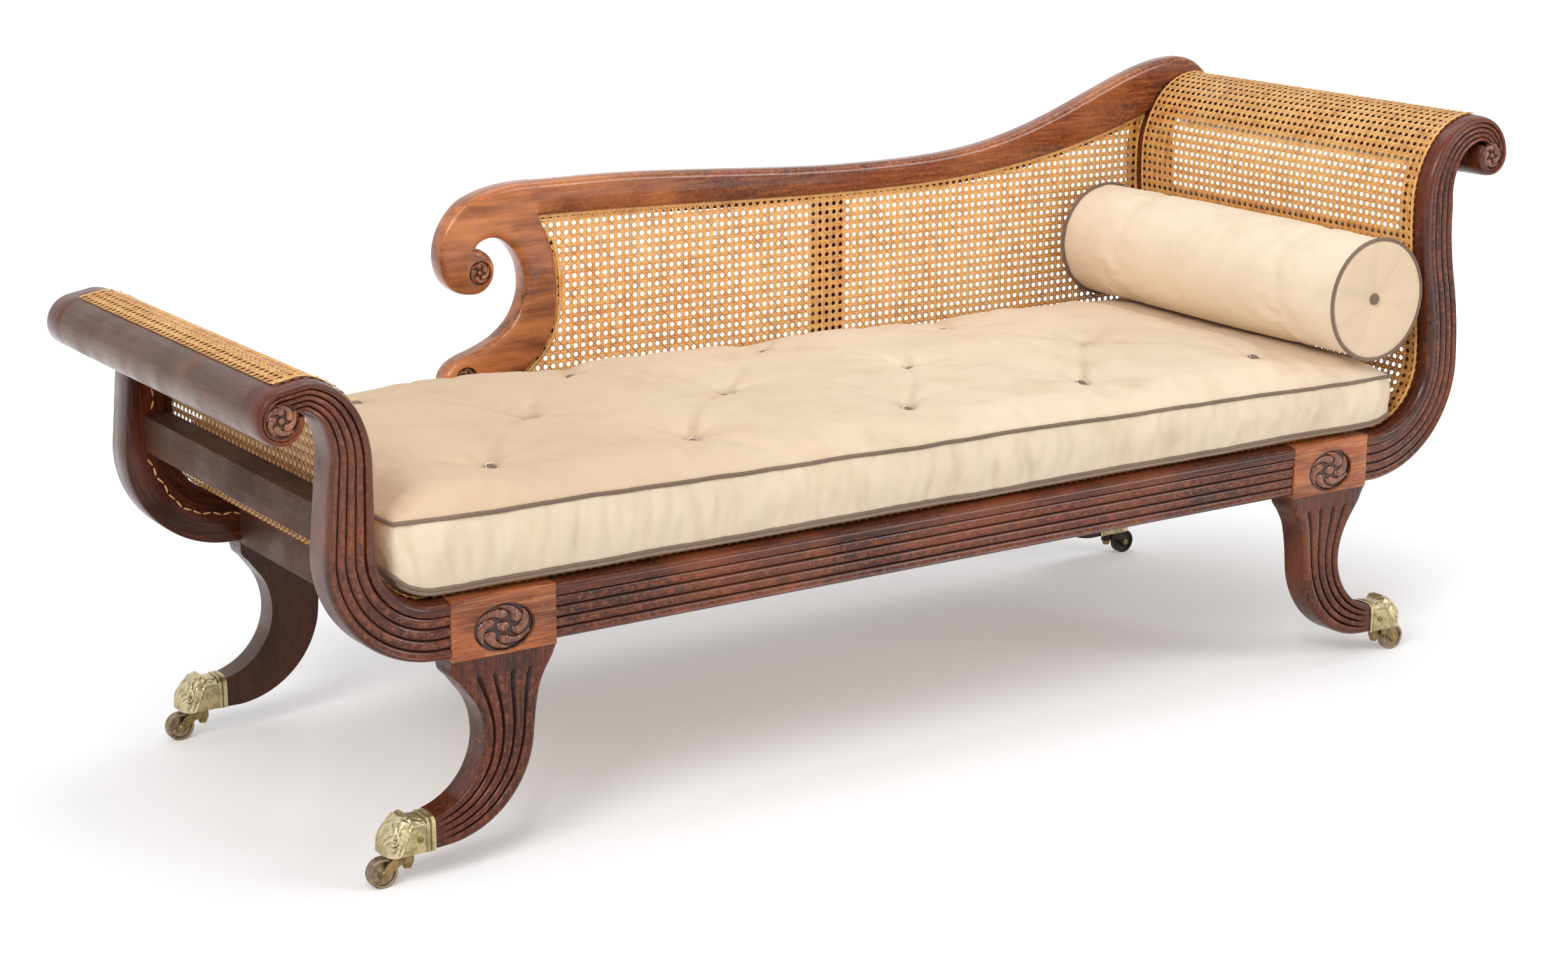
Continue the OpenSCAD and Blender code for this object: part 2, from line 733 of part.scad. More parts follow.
// Arm outline: shares of the trail and of the wheel's diameter, top edge then lower edge
arm_shares = [[0.14, 1], [0.45, 1], [0.68, 0.95], [0.88, 0.82], [1.03, 0.66],
              [0.9, 0.36], [0.78, 0.46], [0.62, 0.6], [0.4, 0.7], [0.14, 0.72]];
yoke_shares = [[0.14, 0.72], [0.4, 0.72], [0.42, 0.8], [0.42, 1], [0.14, 1]];
function horn_outline(shares) = [for (s = shares) [s[0] * trail, s[1] * 2 * wheel_r]];

module horn(end, row) {
    color(worn_metal)
        at_corner(end, row)
            translate([swivel_x, ankle_y, 0])
                difference() {
                    union() {
                        translate([0, 0, collar_bottom_z])
                            cylinder(r = collar_r, h = collar_h);
                        upright(-arm_y - arm_t, 2 * (arm_y + arm_t))
                            polygon(horn_outline(yoke_shares));
                        for (y = [-arm_y - arm_t, arm_y]) {
                            upright(y, arm_t)
                                polygon(horn_outline(arm_shares));
                            translate([trail, y + arm_t, wheel_r])
                                rotate([90, 0, 0])
                                    cylinder(r = boss_r, h = arm_t);
                        }
                    }
                    translate([0, 0, collar_bottom_z - overrun])
                        cylinder(r = pin_r + run_gap, h = collar_h + 2 * overrun);
                    translate([trail, arm_y + arm_t + overrun, wheel_r])
                        rotate([90, 0, 0])
                            cylinder(r = axle_r, h = 2 * (arm_y + arm_t + overrun));
                }
}

module horn_foot_front() {
    horn(-1, -1);
}

module horn_foot_rear() {
    horn(-1, 1);
}

module horn_head_front() {
    horn(1, -1);
}

module horn_head_rear() {
    horn(1, 1);
}

module at_axle(end, row) {
    at_corner(end, row)
        translate([swivel_x + trail, ankle_y, wheel_r])
            rotate([90, 0, 0])
                children();
}

module axle(end, row) {
    head_r = (axle_r + boss_r) / 2;
    color(worn_metal)
        at_axle(end, row) {
            translate([0, 0, -arm_y - arm_t])
                cylinder(r = axle_r, h = 2 * (arm_y + arm_t));
            translate([0, 0, arm_y + arm_t])
                cylinder(r1 = head_r, r2 = axle_r, h = axle_head_t);
            translate([0, 0, -arm_y - arm_t - axle_head_t])
                cylinder(r1 = axle_r, r2 = head_r, h = axle_head_t);
        }
}

module axle_foot_front() {
    axle(-1, -1);
}

module axle_foot_rear() {
    axle(-1, 1);
}

module axle_head_front() {
    axle(1, -1);
}

module axle_head_rear() {
    axle(1, 1);
}

// Half section of a wheel: [share of the radius, share of the half width], hub to tread
wheel_shares = [[0.36, 1], [0.42, 0.55], [0.74, 0.55], [0.8, 0.95], [0.97, 0.95], [1, 0.8]];
module wheel(end, row) {
    half = [for (s = wheel_shares) [s[0] * wheel_r, s[1] * wheel_w / 2]];
    bore = axle_r + run_gap;
    color(worn_metal)
        at_axle(end, row)
            rotate_extrude()
                polygon(concat([[bore, wheel_w / 2]], half,
                               reversed([for (p = half) [p.x, -p.y]]), [[bore, -wheel_w / 2]]));
}

module wheel_foot_front() {
    wheel(-1, -1);
}

module wheel_foot_rear() {
    wheel(-1, 1);
}

module wheel_head_front() {
    wheel(1, -1);
}

module wheel_head_rear() {
    wheel(1, 1);
}

// Back: a crest that sweeps up over the head scroll, with a scroll of its own at the foot side
back_front_y = depth / 2 - frame_t + (frame_t - back_t) * 0.7;
back_rail_top_z = seat_z + back_rail_h;
crest_left_z = crest_low_z + crest_left_rise;
crest_peak_z = crest_low_z + crest_rise;
meet_share = 0.12;
meet_u = head_neck.x + meet_share * head_lean_r;
meet_z = head_neck.y + head_lean_r * sin(acos(1 - meet_share)) + head_neck_l;
low_x_share = 0.3;
crest_low_x = low_x_share * (head_reach + overrun);
nose_u = head_reach - crest_nose_r * 1.15;
peak_power = 1.6;
under_power = 2.4;
level_share = 0.15;
function crest_top(x) =
    x < crest_low_x
    ? crest_low_z + crest_left_rise
        * smooth_share((crest_low_x - x) / (crest_low_x + joint_x) * (1 + level_share))
    : x < nose_u
    ? crest_low_z + crest_rise * smooth_share(pow((x - crest_low_x) / (nose_u - crest_low_x), peak_power))
    : crest_peak_z - crest_nose_r + sqrt(pow(crest_nose_r, 2) - pow(x - nose_u, 2));
function crest_under(x) =
    let (rise = meet_z - crest_low_z + crest_h)
    x < crest_low_x
    ? crest_low_z - crest_h
        + crest_left_rise * 0.6 * smooth_share((crest_low_x - x) / (crest_low_x + joint_x))
    : x < meet_u
    ? crest_low_z - crest_h + rise * pow((x - crest_low_x) / (meet_u - crest_low_x), under_power)
    : min(meet_z + head_lean_r * 0.22, meet_z + (x - meet_u) * 0.8);
// Places along the crest: shares from the joint to the low point, on to the meeting and to the nose
left_shares = [0, 0.06, 0.15, 0.3, 0.45, 0.6, 0.8, 1];
middle_shares = [0.18, 0.34, 0.48, 0.58, 0.68, 0.76, 0.84, 0.92, 1];
right_shares = [0.16, 0.34, 0.5, 0.66, 0.8, 0.9, 1];
crest_end_u = nose_u + crest_nose_r * 0.86;
crest_xs = concat(
    [for (s = left_shares) (crest_low_x + joint_x) * s - joint_x],
    [for (s = middle_shares) crest_low_x + (meet_u - crest_low_x) * s],
    [for (s = right_shares) meet_u + (crest_end_u - meet_u) * s]);
crest_outline = concat([for (x = crest_xs) [x, crest_top(x)]],
                       reversed([for (x = crest_xs) [x, crest_under(x)]]));
lower_edge_share = 0.5;
function crest_ring(x) =
    let (top = crest_top(x), under = crest_under(x))
    let (r = min(crest_edge_r, (top - under) / 3), c = r * 0.3, e = r * lower_edge_share)
    let (y0 = back_front_y, y1 = back_front_y + back_t)
    [[x, y0, under + e], [x, y0, top - r], [x, y0 + c, top - c], [x, y0 + r, top],
     [x, y1 - r, top], [x, y1 - c, top - c], [x, y1, top - r], [x, y1, under + e],
     [x, y1 - e, under], [x, y0 + e, under]];

module head_roll_area() {
    polygon(band(head_stations));
    polygon(roll_outline(head_stations, head_cane_last - 2));
}

module crest_rail() {
    color(mahogany)
        translate([mid_x, 0, 0])
            difference() {
                skin(reversed([for (x = crest_xs) crest_ring(x)]));
                upright(inner_y - overrun, frame_t + 2 * overrun)
                    head_roll_area();
            }
}

// Outline of the back scroll in shares of its height, from its joint with the crest
scroll_outer_shares = [
    [-0.123, 0.997], [-0.225, 0.983], [-0.311, 0.959], [-0.389, 0.922],
    [-0.457, 0.853], [-0.498, 0.775], [-0.515, 0.693], [-0.505, 0.618], [-0.474, 0.556],
    [-0.427, 0.515], [-0.369, 0.497], [-0.307, 0.498], [-0.259, 0.526], [-0.232, 0.573],
    [-0.229, 0.625], [-0.253, 0.672], [-0.294, 0.703], [-0.324, 0.71], [-0.3, 0.734],
    [-0.253, 0.751], [-0.198, 0.744], [-0.147, 0.71], [-0.109, 0.662], [-0.085, 0.608],
    [-0.075, 0.543], [-0.078, 0.478], [-0.099, 0.413], [-0.133, 0.355], [-0.181, 0.307],
    [-0.242, 0.266], [-0.321, 0.232], [-0.396, 0.208], [-0.451, 0.184], [-0.491, 0.147],
    [-0.509, 0.102], [-0.502, 0.055], [-0.468, 0.014], [-0.42, 0]];
scroll_inner_shares = [
    [-0.229, 0], [-0.147, 0.048], [-0.065, 0.113], [0.01, 0.177], [0.058, 0.249],
    [0.089, 0.334], [0.102, 0.427], [0.102, 0.522], [0.092, 0.618], [0.072, 0.7], [0.041, 0.778]];
upper_eye_shares = [-0.31, 0.598];
lower_eye_shares = [-0.395, 0.105];
scroll_h = crest_left_z - back_rail_top_z;
function scroll_point(s) = [s.x * scroll_h - joint_x, back_rail_top_z + s.y * scroll_h];
back_scroll_outline = concat(
    [[-joint_x, crest_top(-joint_x)]],
    [for (s = scroll_outer_shares) scroll_point(s)],
    [for (s = scroll_inner_shares) scroll_point(s)],
    [[-joint_x, crest_under(-joint_x)]]);

module back_scroll() {
    color(mahogany)
        translate([mid_x, 0, 0])
            difference() {
                upright(back_front_y, back_t)
                    polygon(back_scroll_outline);
                round_sinking(scroll_point(upper_eye_shares), back_rosette_r, back_front_y);
                round_sinking(scroll_point(lower_eye_shares), back_rosette_r, back_front_y);
            }
}

rail_end_share = -0.45;
module back_bottom_rail() {
    left = scroll_point([rail_end_share, 0]);
    color(dark_mahogany)
        translate([mid_x, 0, 0])
            upright(back_front_y, back_t)
                difference() {
                    translate([left.x, seat_z])
                        square([head_neck.x + head_bend_r - left.x, back_rail_h]);
                    polygon(band(head_stations));
                    translate([head_neck.x, seat_z])
                        square([2 * head_bend_r, back_rail_h]);
                }
}

batten_place_share = 0.81;
module back_batten() {
    left = crest_low_x * batten_place_share - back_batten_w / 2;
    color(dark_mahogany)
        translate([mid_x, 0, 0])
            upright(depth / 2 - back_batten_t, back_batten_t)
                difference() {
                    translate([left, back_rail_top_z])
                        square([back_batten_w, crest_low_z - back_rail_top_z]);
                    polygon(crest_outline);
                }
}

// Cane: flat under the cushion, bent over both ends, and a net in the back
module cane_seat() {
    left = post_start_u + foot_start_l;
    right = post_start_u + head_start_l;
    color(cane_gold)
        translate([mid_x - left, cane_front - depth / 2, seat_z])
            cube([left + right, depth - cane_front - cane_rear, cane_t]);
}

module cane_end(end, stations, last) {
    run = [for (i = [bend_first:last]) stations[i]];
    color(cane_gold)
        at_end(end)
            upright(cane_front - depth / 2, depth - cane_front - cane_rear)
                polygon(concat([for (s = run) near_point(s)],
                               reversed([for (s = run) lifted_point(s, cane_t)])));
}

module cane_foot_end() {
    cane_end(-1, foot_stations, foot_cane_last);
}

module cane_head_end() {
    cane_end(1, head_stations, head_cane_last);
}

net_left = scroll_point(scroll_inner_shares[7]).x;
net_sides = 6;
function net_fits(x, z) =
    let (under = min(crest_under(x), crest_under(x - net_hole_r)))
    z + net_hole_r + cane_t < under;

module cane_back() {
    rim = net_pitch - net_hole_r;
    color(cane_gold)
        translate([mid_x, 0, 0])
            upright(back_front_y + cane_setback, cane_t)
                difference() {
                    polygon(concat(
                        [for (x = crest_xs) if (x <= meet_u) [x, crest_under(x)]],
                        [[head_neck.x + head_bend_r, meet_z], [head_neck.x + head_bend_r, back_rail_top_z],
                         scroll_point(scroll_inner_shares[0])],
                        [for (s = scroll_inner_shares) scroll_point(s)]));
                    polygon(band(head_stations));
                    translate([head_neck.x + cane_setback * 4, back_rail_top_z - overrun])
                        square([head_bend_r, crest_peak_z]);
                    for (x = [net_left + rim:net_pitch:head_neck.x - rim / 2],
                         z = [back_rail_top_z + rim:net_pitch:crest_peak_z])
                        if (net_fits(x, z))
                            translate([x, z])
                                circle(r = net_hole_r, $fn = net_sides);
                }
}

// Rosettes: whirling petals round a boss, inside a raised rim.
// A ring is [share of the radius, height share of the ground, height share of the petals]
lobes = 7;
rosette_shares = [[1, 0, 0], [1, 0.3, 0], [0.86, 0.2, 0.5], [0.62, 0.25, 0.7],
                  [0.4, 0.2, 0.4], [0.26, 0.3, 0], [0.2, 0.9, 0], [0.1, 1, 0]];
whirl = 60;
function petal(a) = max(0, cos(a));
module rosette(rx, rz) {
    skin([for (s = rosette_shares)
        [for (i = [0:oval_steps - 1])
            let (a = 360 * i / oval_steps, h = s[1] + s[2] * petal(lobes * (a + whirl * s[0])))
            [(rx - rosette_fit) * s[0] * cos(a), -carve_h * h, (rz - rosette_fit) * s[0] * sin(a)]]]);
}

module at_sinking(p, y0) {
    translate([p.x, y0 + carve_h, p.y])
        children();
}

module block_rosettes() {
    color(mahogany)
        for (end = [-1, 1])
            translate([mid_x, 0, 0])
                at_sinking([end * leg_span / 2, rosette_z], -depth / 2)
                    rosette(oval_x, oval_z);
}

module scroll_rosettes() {
    color(mahogany)
        translate([mid_x, 0, 0]) {
            at_sinking([-foot_eye.x, foot_eye.y], -depth / 2)
                rosette(rosette_r, rosette_r);
            at_sinking(head_eye, -depth / 2)
                rosette(rosette_r, rosette_r);
        }
}

module back_rosettes() {
    color(mahogany)
        translate([mid_x, 0, 0])
            for (s = [upper_eye_shares, lower_eye_shares])
                at_sinking(scroll_point(s), back_front_y)
                    rosette(back_rosette_r, back_rosette_r);
}

// Seat cushion: stations along its length, a crown, drawn-in sides and sewn tufts
cushion_d = depth - frame_t - cushion_front - cushion_rear_gap;
cushion_y = cushion_d / 2 - depth / 2 + cushion_front;
cushion_foot_x = cushion_foot_gap - post_start_u - foot_start_l - foot_bend_r;
cushion_head_x = post_start_u + head_start_l + head_bend_r - cushion_head_gap;
cushion_l = cushion_head_x - cushion_foot_x;
cushion_shift = -(cushion_head_x + cushion_foot_x) / 2;
seat_top_z = seat_z + cane_t + soft_gap;
// How the plan's corners are rounded: share of the length from an end, share of the half depth
corner_shares = [[0, 0.93], [0.004, 0.975], [0.011, 0.993], [0.02, 1]];
cushion_steps = 38;
first_share = 0.032;
cushion_places = concat(
    corner_shares,
    [for (i = [0:cushion_steps]) [first_share + (1 - 2 * first_share) * i / cushion_steps, 1]],
    reversed([for (c = corner_shares) [1 - c[0], c[1]]]));
cross_shares = [-0.985, -0.93, -0.84, -0.72, -0.58, -0.44, -0.3, -0.15, 0,
                0.15, 0.3, 0.44, 0.58, 0.72, 0.84, 0.93, 0.985];
// Tufts in three staggered rows: shares of the half length and half depth
tuft_shares = concat(
    [for (x = [-0.76, -0.4, 0.02, 0.39, 0.79]) [x, -0.6]],
    [for (x = [-0.56, -0.18, 0.21, 0.61]) [x, 0.06]],
    [for (x = [-0.75, -0.34, 0.06, 0.46]) [x, 0.7]]);
tuft_r = cushion_d / 17;
crown_edge = cushion_d / 24;
tufts = [for (t = tuft_shares) [t.x * cushion_l / 2, t.y * cushion_d / 2]];

// The underside follows the bends at both ends
function bend_floor(u, start, r) =
    u < start ? seat_top_z
    : seat_z + r - sqrt(pow(r - cane_t - soft_gap, 2) - pow(u - start, 2));
function cushion_floor(x) =
    x < 0 ? bend_floor(piping_r - x, post_start_u + foot_start_l, foot_bend_r)
          : bend_floor(x + piping_r, post_start_u + head_start_l, head_bend_r);
function edge_z(x) = seat_top_z + cushion_h - cushion_slope * (x + cushion_shift) / cushion_l;
function rise_share(d) = 1 - exp(-max(0, d) / crown_edge);
function tuft_dip(x, y) =
    let (near = min([for (t = tufts) norm([x + cushion_shift - t.x, y - t.y])]))
    tuft_depth * exp(-pow(near / tuft_r, 1.3));
bolster_rest_share = 0.82;
bolster_level_z = edge_z(head_neck.x - bolster_r) + bolster_rest_share * cushion_crown + bolster_r;
bolster_u = min([for (s = head_stations)
    let (p = lifted_point(s, cane_t), dz = p.y - bolster_level_z)
    if (abs(dz) < bolster_r) p.x - sqrt(pow(bolster_r, 2) - pow(dz, 2))]) - bolster_head_gap;
bolster_z = edge_z(bolster_u) + bolster_rest_share * cushion_crown + bolster_r;
// The hollow under the bolster: its chords come nearer the bolster than its stations do
function bolster_under(x) =
    let (r = bolster_r + piping_r / 3 + soft_gap, dx = x - bolster_u)
    abs(dx) < bolster_r ? bolster_z - sqrt(pow(r, 2) - pow(dx, 2)) : crest_peak_z;
function cushion_top(x, y, half) =
    let (from_end = min(x - cushion_foot_x, cushion_foot_x + cushion_l - x))
    let (free = edge_z(x) + cushion_crown * rise_share(from_end) * rise_share(half - abs(y))
                - tuft_dip(x, y) * rise_share(from_end) * rise_share(half - abs(y)))
    min(free, bolster_under(x));
edge_rise = 10;
function cushion_ring(place) =
    let (x = cushion_foot_x + place[0] * cushion_l, half = place[1] * cushion_d / 2)
    let (low = cushion_floor(x), high = edge_z(x), middle = (low + high) / 2)
    concat(
        [[x, 0, low], [x, edge_rise - half, low]],
        [[x, -half, low + edge_rise], [x, cushion_draw - half, middle], [x, -half, high]],
        [for (s = cross_shares) [x, s * half, max(high, cushion_top(x, s * half, half))]],
        [[x, half, high], [x, half - cushion_draw, middle], [x, half, low + edge_rise]],
        [[x, half - edge_rise, low]]);
module seat_cushion() {
    color(cream)
        translate([mid_x, cushion_y, 0])
            skin(reversed([for (p = cushion_places) cushion_ring(p)]));
}

// Piping: a closed round tube along the cushion's upper and lower edges
piping_sides = 5;
piping_places = [for (i = [0:len(cushion_places) - 1])
    if (i < 5 || i > len(cushion_places) - 6 || i % 3 == 0) cushion_places[i]];
function piping_side(sign_y) =
    [for (p = piping_places) [cushion_foot_x + p[0] * cushion_l, sign_y * p[1] * cushion_d / 2]];
piping_plan = concat(piping_side(-1), reversed(piping_side(1)));
module piping_tube(path) {
    n = len(path);
    m = piping_sides;
    polyhedron(
        points = [for (i = [0:n - 1])
            let (d = path[(i + 1) % n] - path[(i + n - 1) % n], t = [d.x, d.y] / norm([d.x, d.y]))
            for (j = [0:m - 1]) let (a = 360 * j / m)
                path[i] + piping_r * [cos(a) * t.y, -cos(a) * t.x, sin(a)]],
        faces = [for (i = [0:n - 1], j = [0:m - 1])
            let (i2 = (i + 1) % n, j2 = (j + 1) % m)
            each [[i * m + j, i2 * m + j, i * m + j2], [i * m + j2, i2 * m + j, i2 * m + j2]]],
        convexity = 8);
}

module cushion_piping() {
    color(taupe)
        translate([mid_x, cushion_y, 0]) {
            piping_tube([for (p = piping_plan) [p.x, p.y, edge_z(p.x)]]);
            piping_tube([for (p = piping_plan) [p.x, p.y, cushion_floor(p.x) + edge_rise]]);
        }
}

module cushion_buttons() {
    color(taupe)
        translate([mid_x, cushion_y, 0])
            for (t = tufts)
                let (x = t.x - cushion_shift)
                translate([x, t.y, cushion_top(x, t.y, cushion_d / 2) - button_h / 2])
                    cylinder(r1 = button_r, r2 = button_r * 0.7, h = button_h, $fn = 8);
}

// Bolster: a drum with dished ends, lying against the head end
bolster_shares = [[0, 1], [0.1, 0.95], [0.35, 0.35], [0.7, 0.1], [0.94, 0.15], [1, 0.6]];
bolster_front_y = bolster_front - depth / 2;
bolster_l = depth - frame_t - bolster_front - bolster_rear_gap;
module along_bolster() {
    translate([mid_x + bolster_u, bolster_front_y + bolster_l, bolster_z])
        rotate([90, 0, 0])
            children();
}

module bolster() {
    near = [for (s = bolster_shares) [s[0] * bolster_r, s[1] * bolster_dish]];
    color(cream)
        along_bolster()
            rotate_extrude()
                polygon(concat(near, reversed([for (p = near) [p.x, bolster_l - p.y]])));
}

piping_in_share = 0.97;
module bolster_piping() {
    color(taupe)
        along_bolster()
            for (z = [piping_r, bolster_l - piping_r])
                translate([0, 0, z])
                    rotate_extrude($fn = 40)
                        translate([bolster_r * piping_in_share, 0])
                            circle(r = piping_r, $fn = piping_sides);
}

module bolster_buttons() {
    color(taupe)
        along_bolster()
            for (z = [bolster_dish - button_h / 2, bolster_l - bolster_dish - button_h / 2])
                translate([0, 0, z])
                    cylinder(r = button_r, h = button_h);
}

front_rail();
rear_rail();
foot_end_rail();
head_end_rail();
seat_battens();
foot_scroll_front();
foot_scroll_rear();
head_scroll_front();
head_scroll_rear();
foot_upper_rail();
head_upper_rail();
foot_roll_board();
head_roll_board();
block_foot_front();
block_foot_rear();
block_head_front();
block_head_rear();
leg_foot_front();
leg_foot_rear();
leg_head_front();
leg_head_rear();
crest_rail();
back_scroll();
back_bottom_rail();
back_batten();
cane_seat();
cane_foot_end();
cane_head_end();
cane_back();
block_rosettes();
scroll_rosettes();
back_rosettes();
sabot_foot_front();
sabot_foot_rear();
sabot_head_front();
sabot_head_rear();
sabot_screws();
swivel_pins();
horn_foot_front();
horn_foot_rear();
horn_head_front();
horn_head_rear();
axle_foot_front();
axle_foot_rear();
axle_head_front();
axle_head_rear();
wheel_foot_front();
wheel_foot_rear();
wheel_head_front();
wheel_head_rear();
seat_cushion();
cushion_piping();
cushion_buttons();
bolster();
bolster_piping();
bolster_buttons();
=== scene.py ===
"""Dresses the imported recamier: carved and reeded mahogany, woven cane, brass sabots and a suede cushion."""
import math
from contextlib import contextmanager

import bmesh
import bpy
import numpy as np
from mathutils import Matrix, Vector, noise


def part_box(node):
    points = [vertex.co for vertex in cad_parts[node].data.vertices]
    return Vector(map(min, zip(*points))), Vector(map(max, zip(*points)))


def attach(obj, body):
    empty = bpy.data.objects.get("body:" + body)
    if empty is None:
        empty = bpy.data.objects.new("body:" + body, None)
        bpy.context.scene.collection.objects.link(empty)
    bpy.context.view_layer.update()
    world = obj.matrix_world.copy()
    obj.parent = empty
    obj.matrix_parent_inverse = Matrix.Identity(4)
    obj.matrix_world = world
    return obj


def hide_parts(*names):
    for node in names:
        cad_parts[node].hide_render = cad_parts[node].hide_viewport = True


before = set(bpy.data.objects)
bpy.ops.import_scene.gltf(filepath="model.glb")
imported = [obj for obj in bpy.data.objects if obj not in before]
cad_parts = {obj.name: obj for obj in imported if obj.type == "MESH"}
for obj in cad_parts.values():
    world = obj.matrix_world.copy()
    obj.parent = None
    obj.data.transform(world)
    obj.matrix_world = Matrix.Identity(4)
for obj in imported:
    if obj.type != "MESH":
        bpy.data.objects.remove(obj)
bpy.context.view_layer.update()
MM = 0.001

# ---- camera, at the photograph's view -------------------------------------------------------
EYE = Vector((-2.18359, -3.17210, 1.32069))
YAW, PITCH, ROLL = 0.5897522, 0.2576185, 0.0023238
FOCAL_PX, FRAME_PX, SENSOR = 4569.456, 2464, 36
look = Vector((math.sin(YAW) * math.cos(PITCH), math.cos(YAW) * math.cos(PITCH), -math.sin(PITCH)))
level = Vector((math.cos(YAW), -math.sin(YAW), 0))
over = level.cross(look)
right = math.cos(ROLL) * level + math.sin(ROLL) * over
upward = -math.sin(ROLL) * level + math.cos(ROLL) * over
cam = bpy.data.objects.new("camera", bpy.data.cameras.new("camera"))
bpy.context.scene.collection.objects.link(cam)
cam.matrix_world = Matrix.Translation(EYE) @ Matrix((right, upward, -look)).transposed().to_4x4()
cam.data.sensor_fit = "HORIZONTAL"
cam.data.sensor_width = SENSOR
cam.data.lens = FOCAL_PX / FRAME_PX * SENSOR
cam.data.clip_start, cam.data.clip_end = 0.05, 60
bpy.context.scene.camera = cam

# ---- sizes of the model, in millimetres -----------------------------------------------------
SPAN, DEPTH, SEAT_Z = 1310, 645, 337
RAIL_H, FRAME_T, BLOCK_W, DROP, REED = 71, 46, 138, 4, 5
SEAT_BEAD, OUTER_BEAD = 18, 12
BLOCK_BOTTOM = SEAT_Z - RAIL_H - DROP
POST_U = SPAN / 2 + BLOCK_W / 2
RAIL_L = SPAN - BLOCK_W
INNER_Y = DEPTH / 2 - FRAME_T
FRONT_Y = -DEPTH / 2
CANE_T, CANE_FRONT, CANE_REAR = 2.4, 22, 40
# each end's bends: an outward start, then its sweep up from the seat
FOOT_START, FOOT_BEND, HEAD_START, HEAD_BEND = 17, 70, 19, 93
FOOT = dict(
    end=-1, runs=[FOOT_START, FOOT_BEND, 104, 130, 85, 45, 26, 36, 30, 29],
    turns=[0, 90, 0, -28, -42, -30, 0, -80, -90, -98], steps=[1, 8, 2, 3, 4, 3, 1, 6, 6, 6],
    widths=[1, 1, 0.9, 0.76, 0.66, 0.535, 0.48, 0.465, 0.41, 0.405, 0.395])
HEAD = dict(
    end=1, runs=[HEAD_START, HEAD_BEND, 500, 500, 10, 135, 90, 58, 30, 29],
    turns=[0, 90, 12.3, -12.3, 0, -40, -50, -90, -90, -130], steps=[1, 9, 3, 3, 1, 4, 5, 7, 6, 8],
    widths=[1, 1, 0.845, 0.817, 0.82, 0.82, 0.66, 0.535, 0.415, 0.41, 0.4])
ENDS = ((FOOT, "foot"), (HEAD, "head"))
FINE = 4


def smooth(t):
    c = np.clip(t, 0, 1)
    return c * c * (3 - 2 * c)


def left_of(h):
    return np.array([-math.sin(math.radians(h)), math.cos(math.radians(h))])


def ahead(h):
    return np.array([math.cos(math.radians(h)), math.sin(math.radians(h))])


def walk(scroll, fine):
    """Stations along a scroll's seat side: u, z, heading in degrees and width."""
    p, h, w, out = np.array([POST_U, SEAT_Z], float), 0.0, RAIL_H * scroll["widths"][0], []
    for run, turn, steps, share in zip(scroll["runs"], scroll["turns"], scroll["steps"], scroll["widths"][1:]):
        side, w1 = np.sign(turn), RAIL_H * share

        def at(f):
            if side == 0:
                return p + run * f * ahead(h)
            return p + side * run * (left_of(h) - left_of(h + turn * f))
        for k in range(steps * fine):
            f = k / (steps * fine)
            out.append((*at(f), h + turn * f, w + (w1 - w) * f))
        p, h, w = at(1), h + turn, w1
    out.append((*p, h, w))
    return np.array(out)


for scroll, _ in ENDS:
    scroll["stations"] = walk(scroll, FINE)
    scroll["first"] = first = [0, *np.cumsum(scroll["steps"]).tolist()]
    s = scroll["stations"][first[8] * FINE]
    scroll["eye"] = s[:2] - scroll["runs"][8] * left_of(s[2])
foot_reach, head_reach = (walk(s, 1)[:, 0].max() for s in (FOOT, HEAD))
MID_X = (foot_reach - head_reach) / 2
FOOT["cane_last"] = FOOT["first"][7]
HEAD["cane_last"] = HEAD["first"][7] + 1


def shifted(st, by):
    """Points at a distance to the left of the stations."""
    return st[:, :2] + by * np.array([left_of(h) for h in st[:, 2]])


def mirrored(scroll, points):
    """A scroll's own u and z as x and z."""
    return np.stack([MID_X + scroll["end"] * points[:, 0], points[:, 1]], 1)


def run_along(path):
    """How far along a path each of its points lies."""
    return np.concatenate([[0], np.cumsum(np.linalg.norm(np.diff(path, axis=0), axis=1))])


# ---- meshes ---------------------------------------------------------------------------------
def new_object(name, mesh):
    obj = bpy.data.objects.new(name, mesh)
    bpy.context.scene.collection.objects.link(obj)
    return obj


def shade(mesh, angle):
    mesh.polygons.foreach_set("use_smooth", np.ones(len(mesh.polygons), bool))
    mesh.set_sharp_from_angle(angle=math.radians(angle))
    mesh.update()


def add_values(mesh, **attrs):
    for key, values in attrs.items():
        mesh.attributes.new(key, "FLOAT", "POINT").data.foreach_set("value", np.asarray(values, np.float32))


@contextmanager
def edited(mesh, *sources):
    """A bmesh of the sources, or of the mesh itself, that is written to the mesh."""
    bm = bmesh.new()
    for source in sources or (mesh,):
        bm.from_mesh(source)
    yield bm
    bm.to_mesh(mesh)
    bm.free()


def mesh_of(name, verts, faces, attrs=None, recalc=True, angle=40):
    """A mesh from points in millimetres and faces as lists; attrs are floats for each point."""
    mesh = bpy.data.meshes.new(name)
    mesh.from_pydata((np.asarray(verts, float) * MM).tolist(), [], [list(map(int, f)) for f in faces])
    add_values(mesh, **(attrs or {}))
    if recalc:
        with edited(mesh) as bm:
            bmesh.ops.recalc_face_normals(bm, faces=bm.faces)
    shade(mesh, angle)
    return mesh


def quads_of(m, n, closed=True):
    """Faces between m rings of n points."""
    i = np.arange(n if closed else n - 1)
    a = (np.arange(m - 1)[:, None] * n + i[None, :]).ravel()
    b = (np.arange(m - 1)[:, None] * n + (i[None, :] + 1) % n).ravel()
    return np.stack([a, b, b + n, a + n], 1)


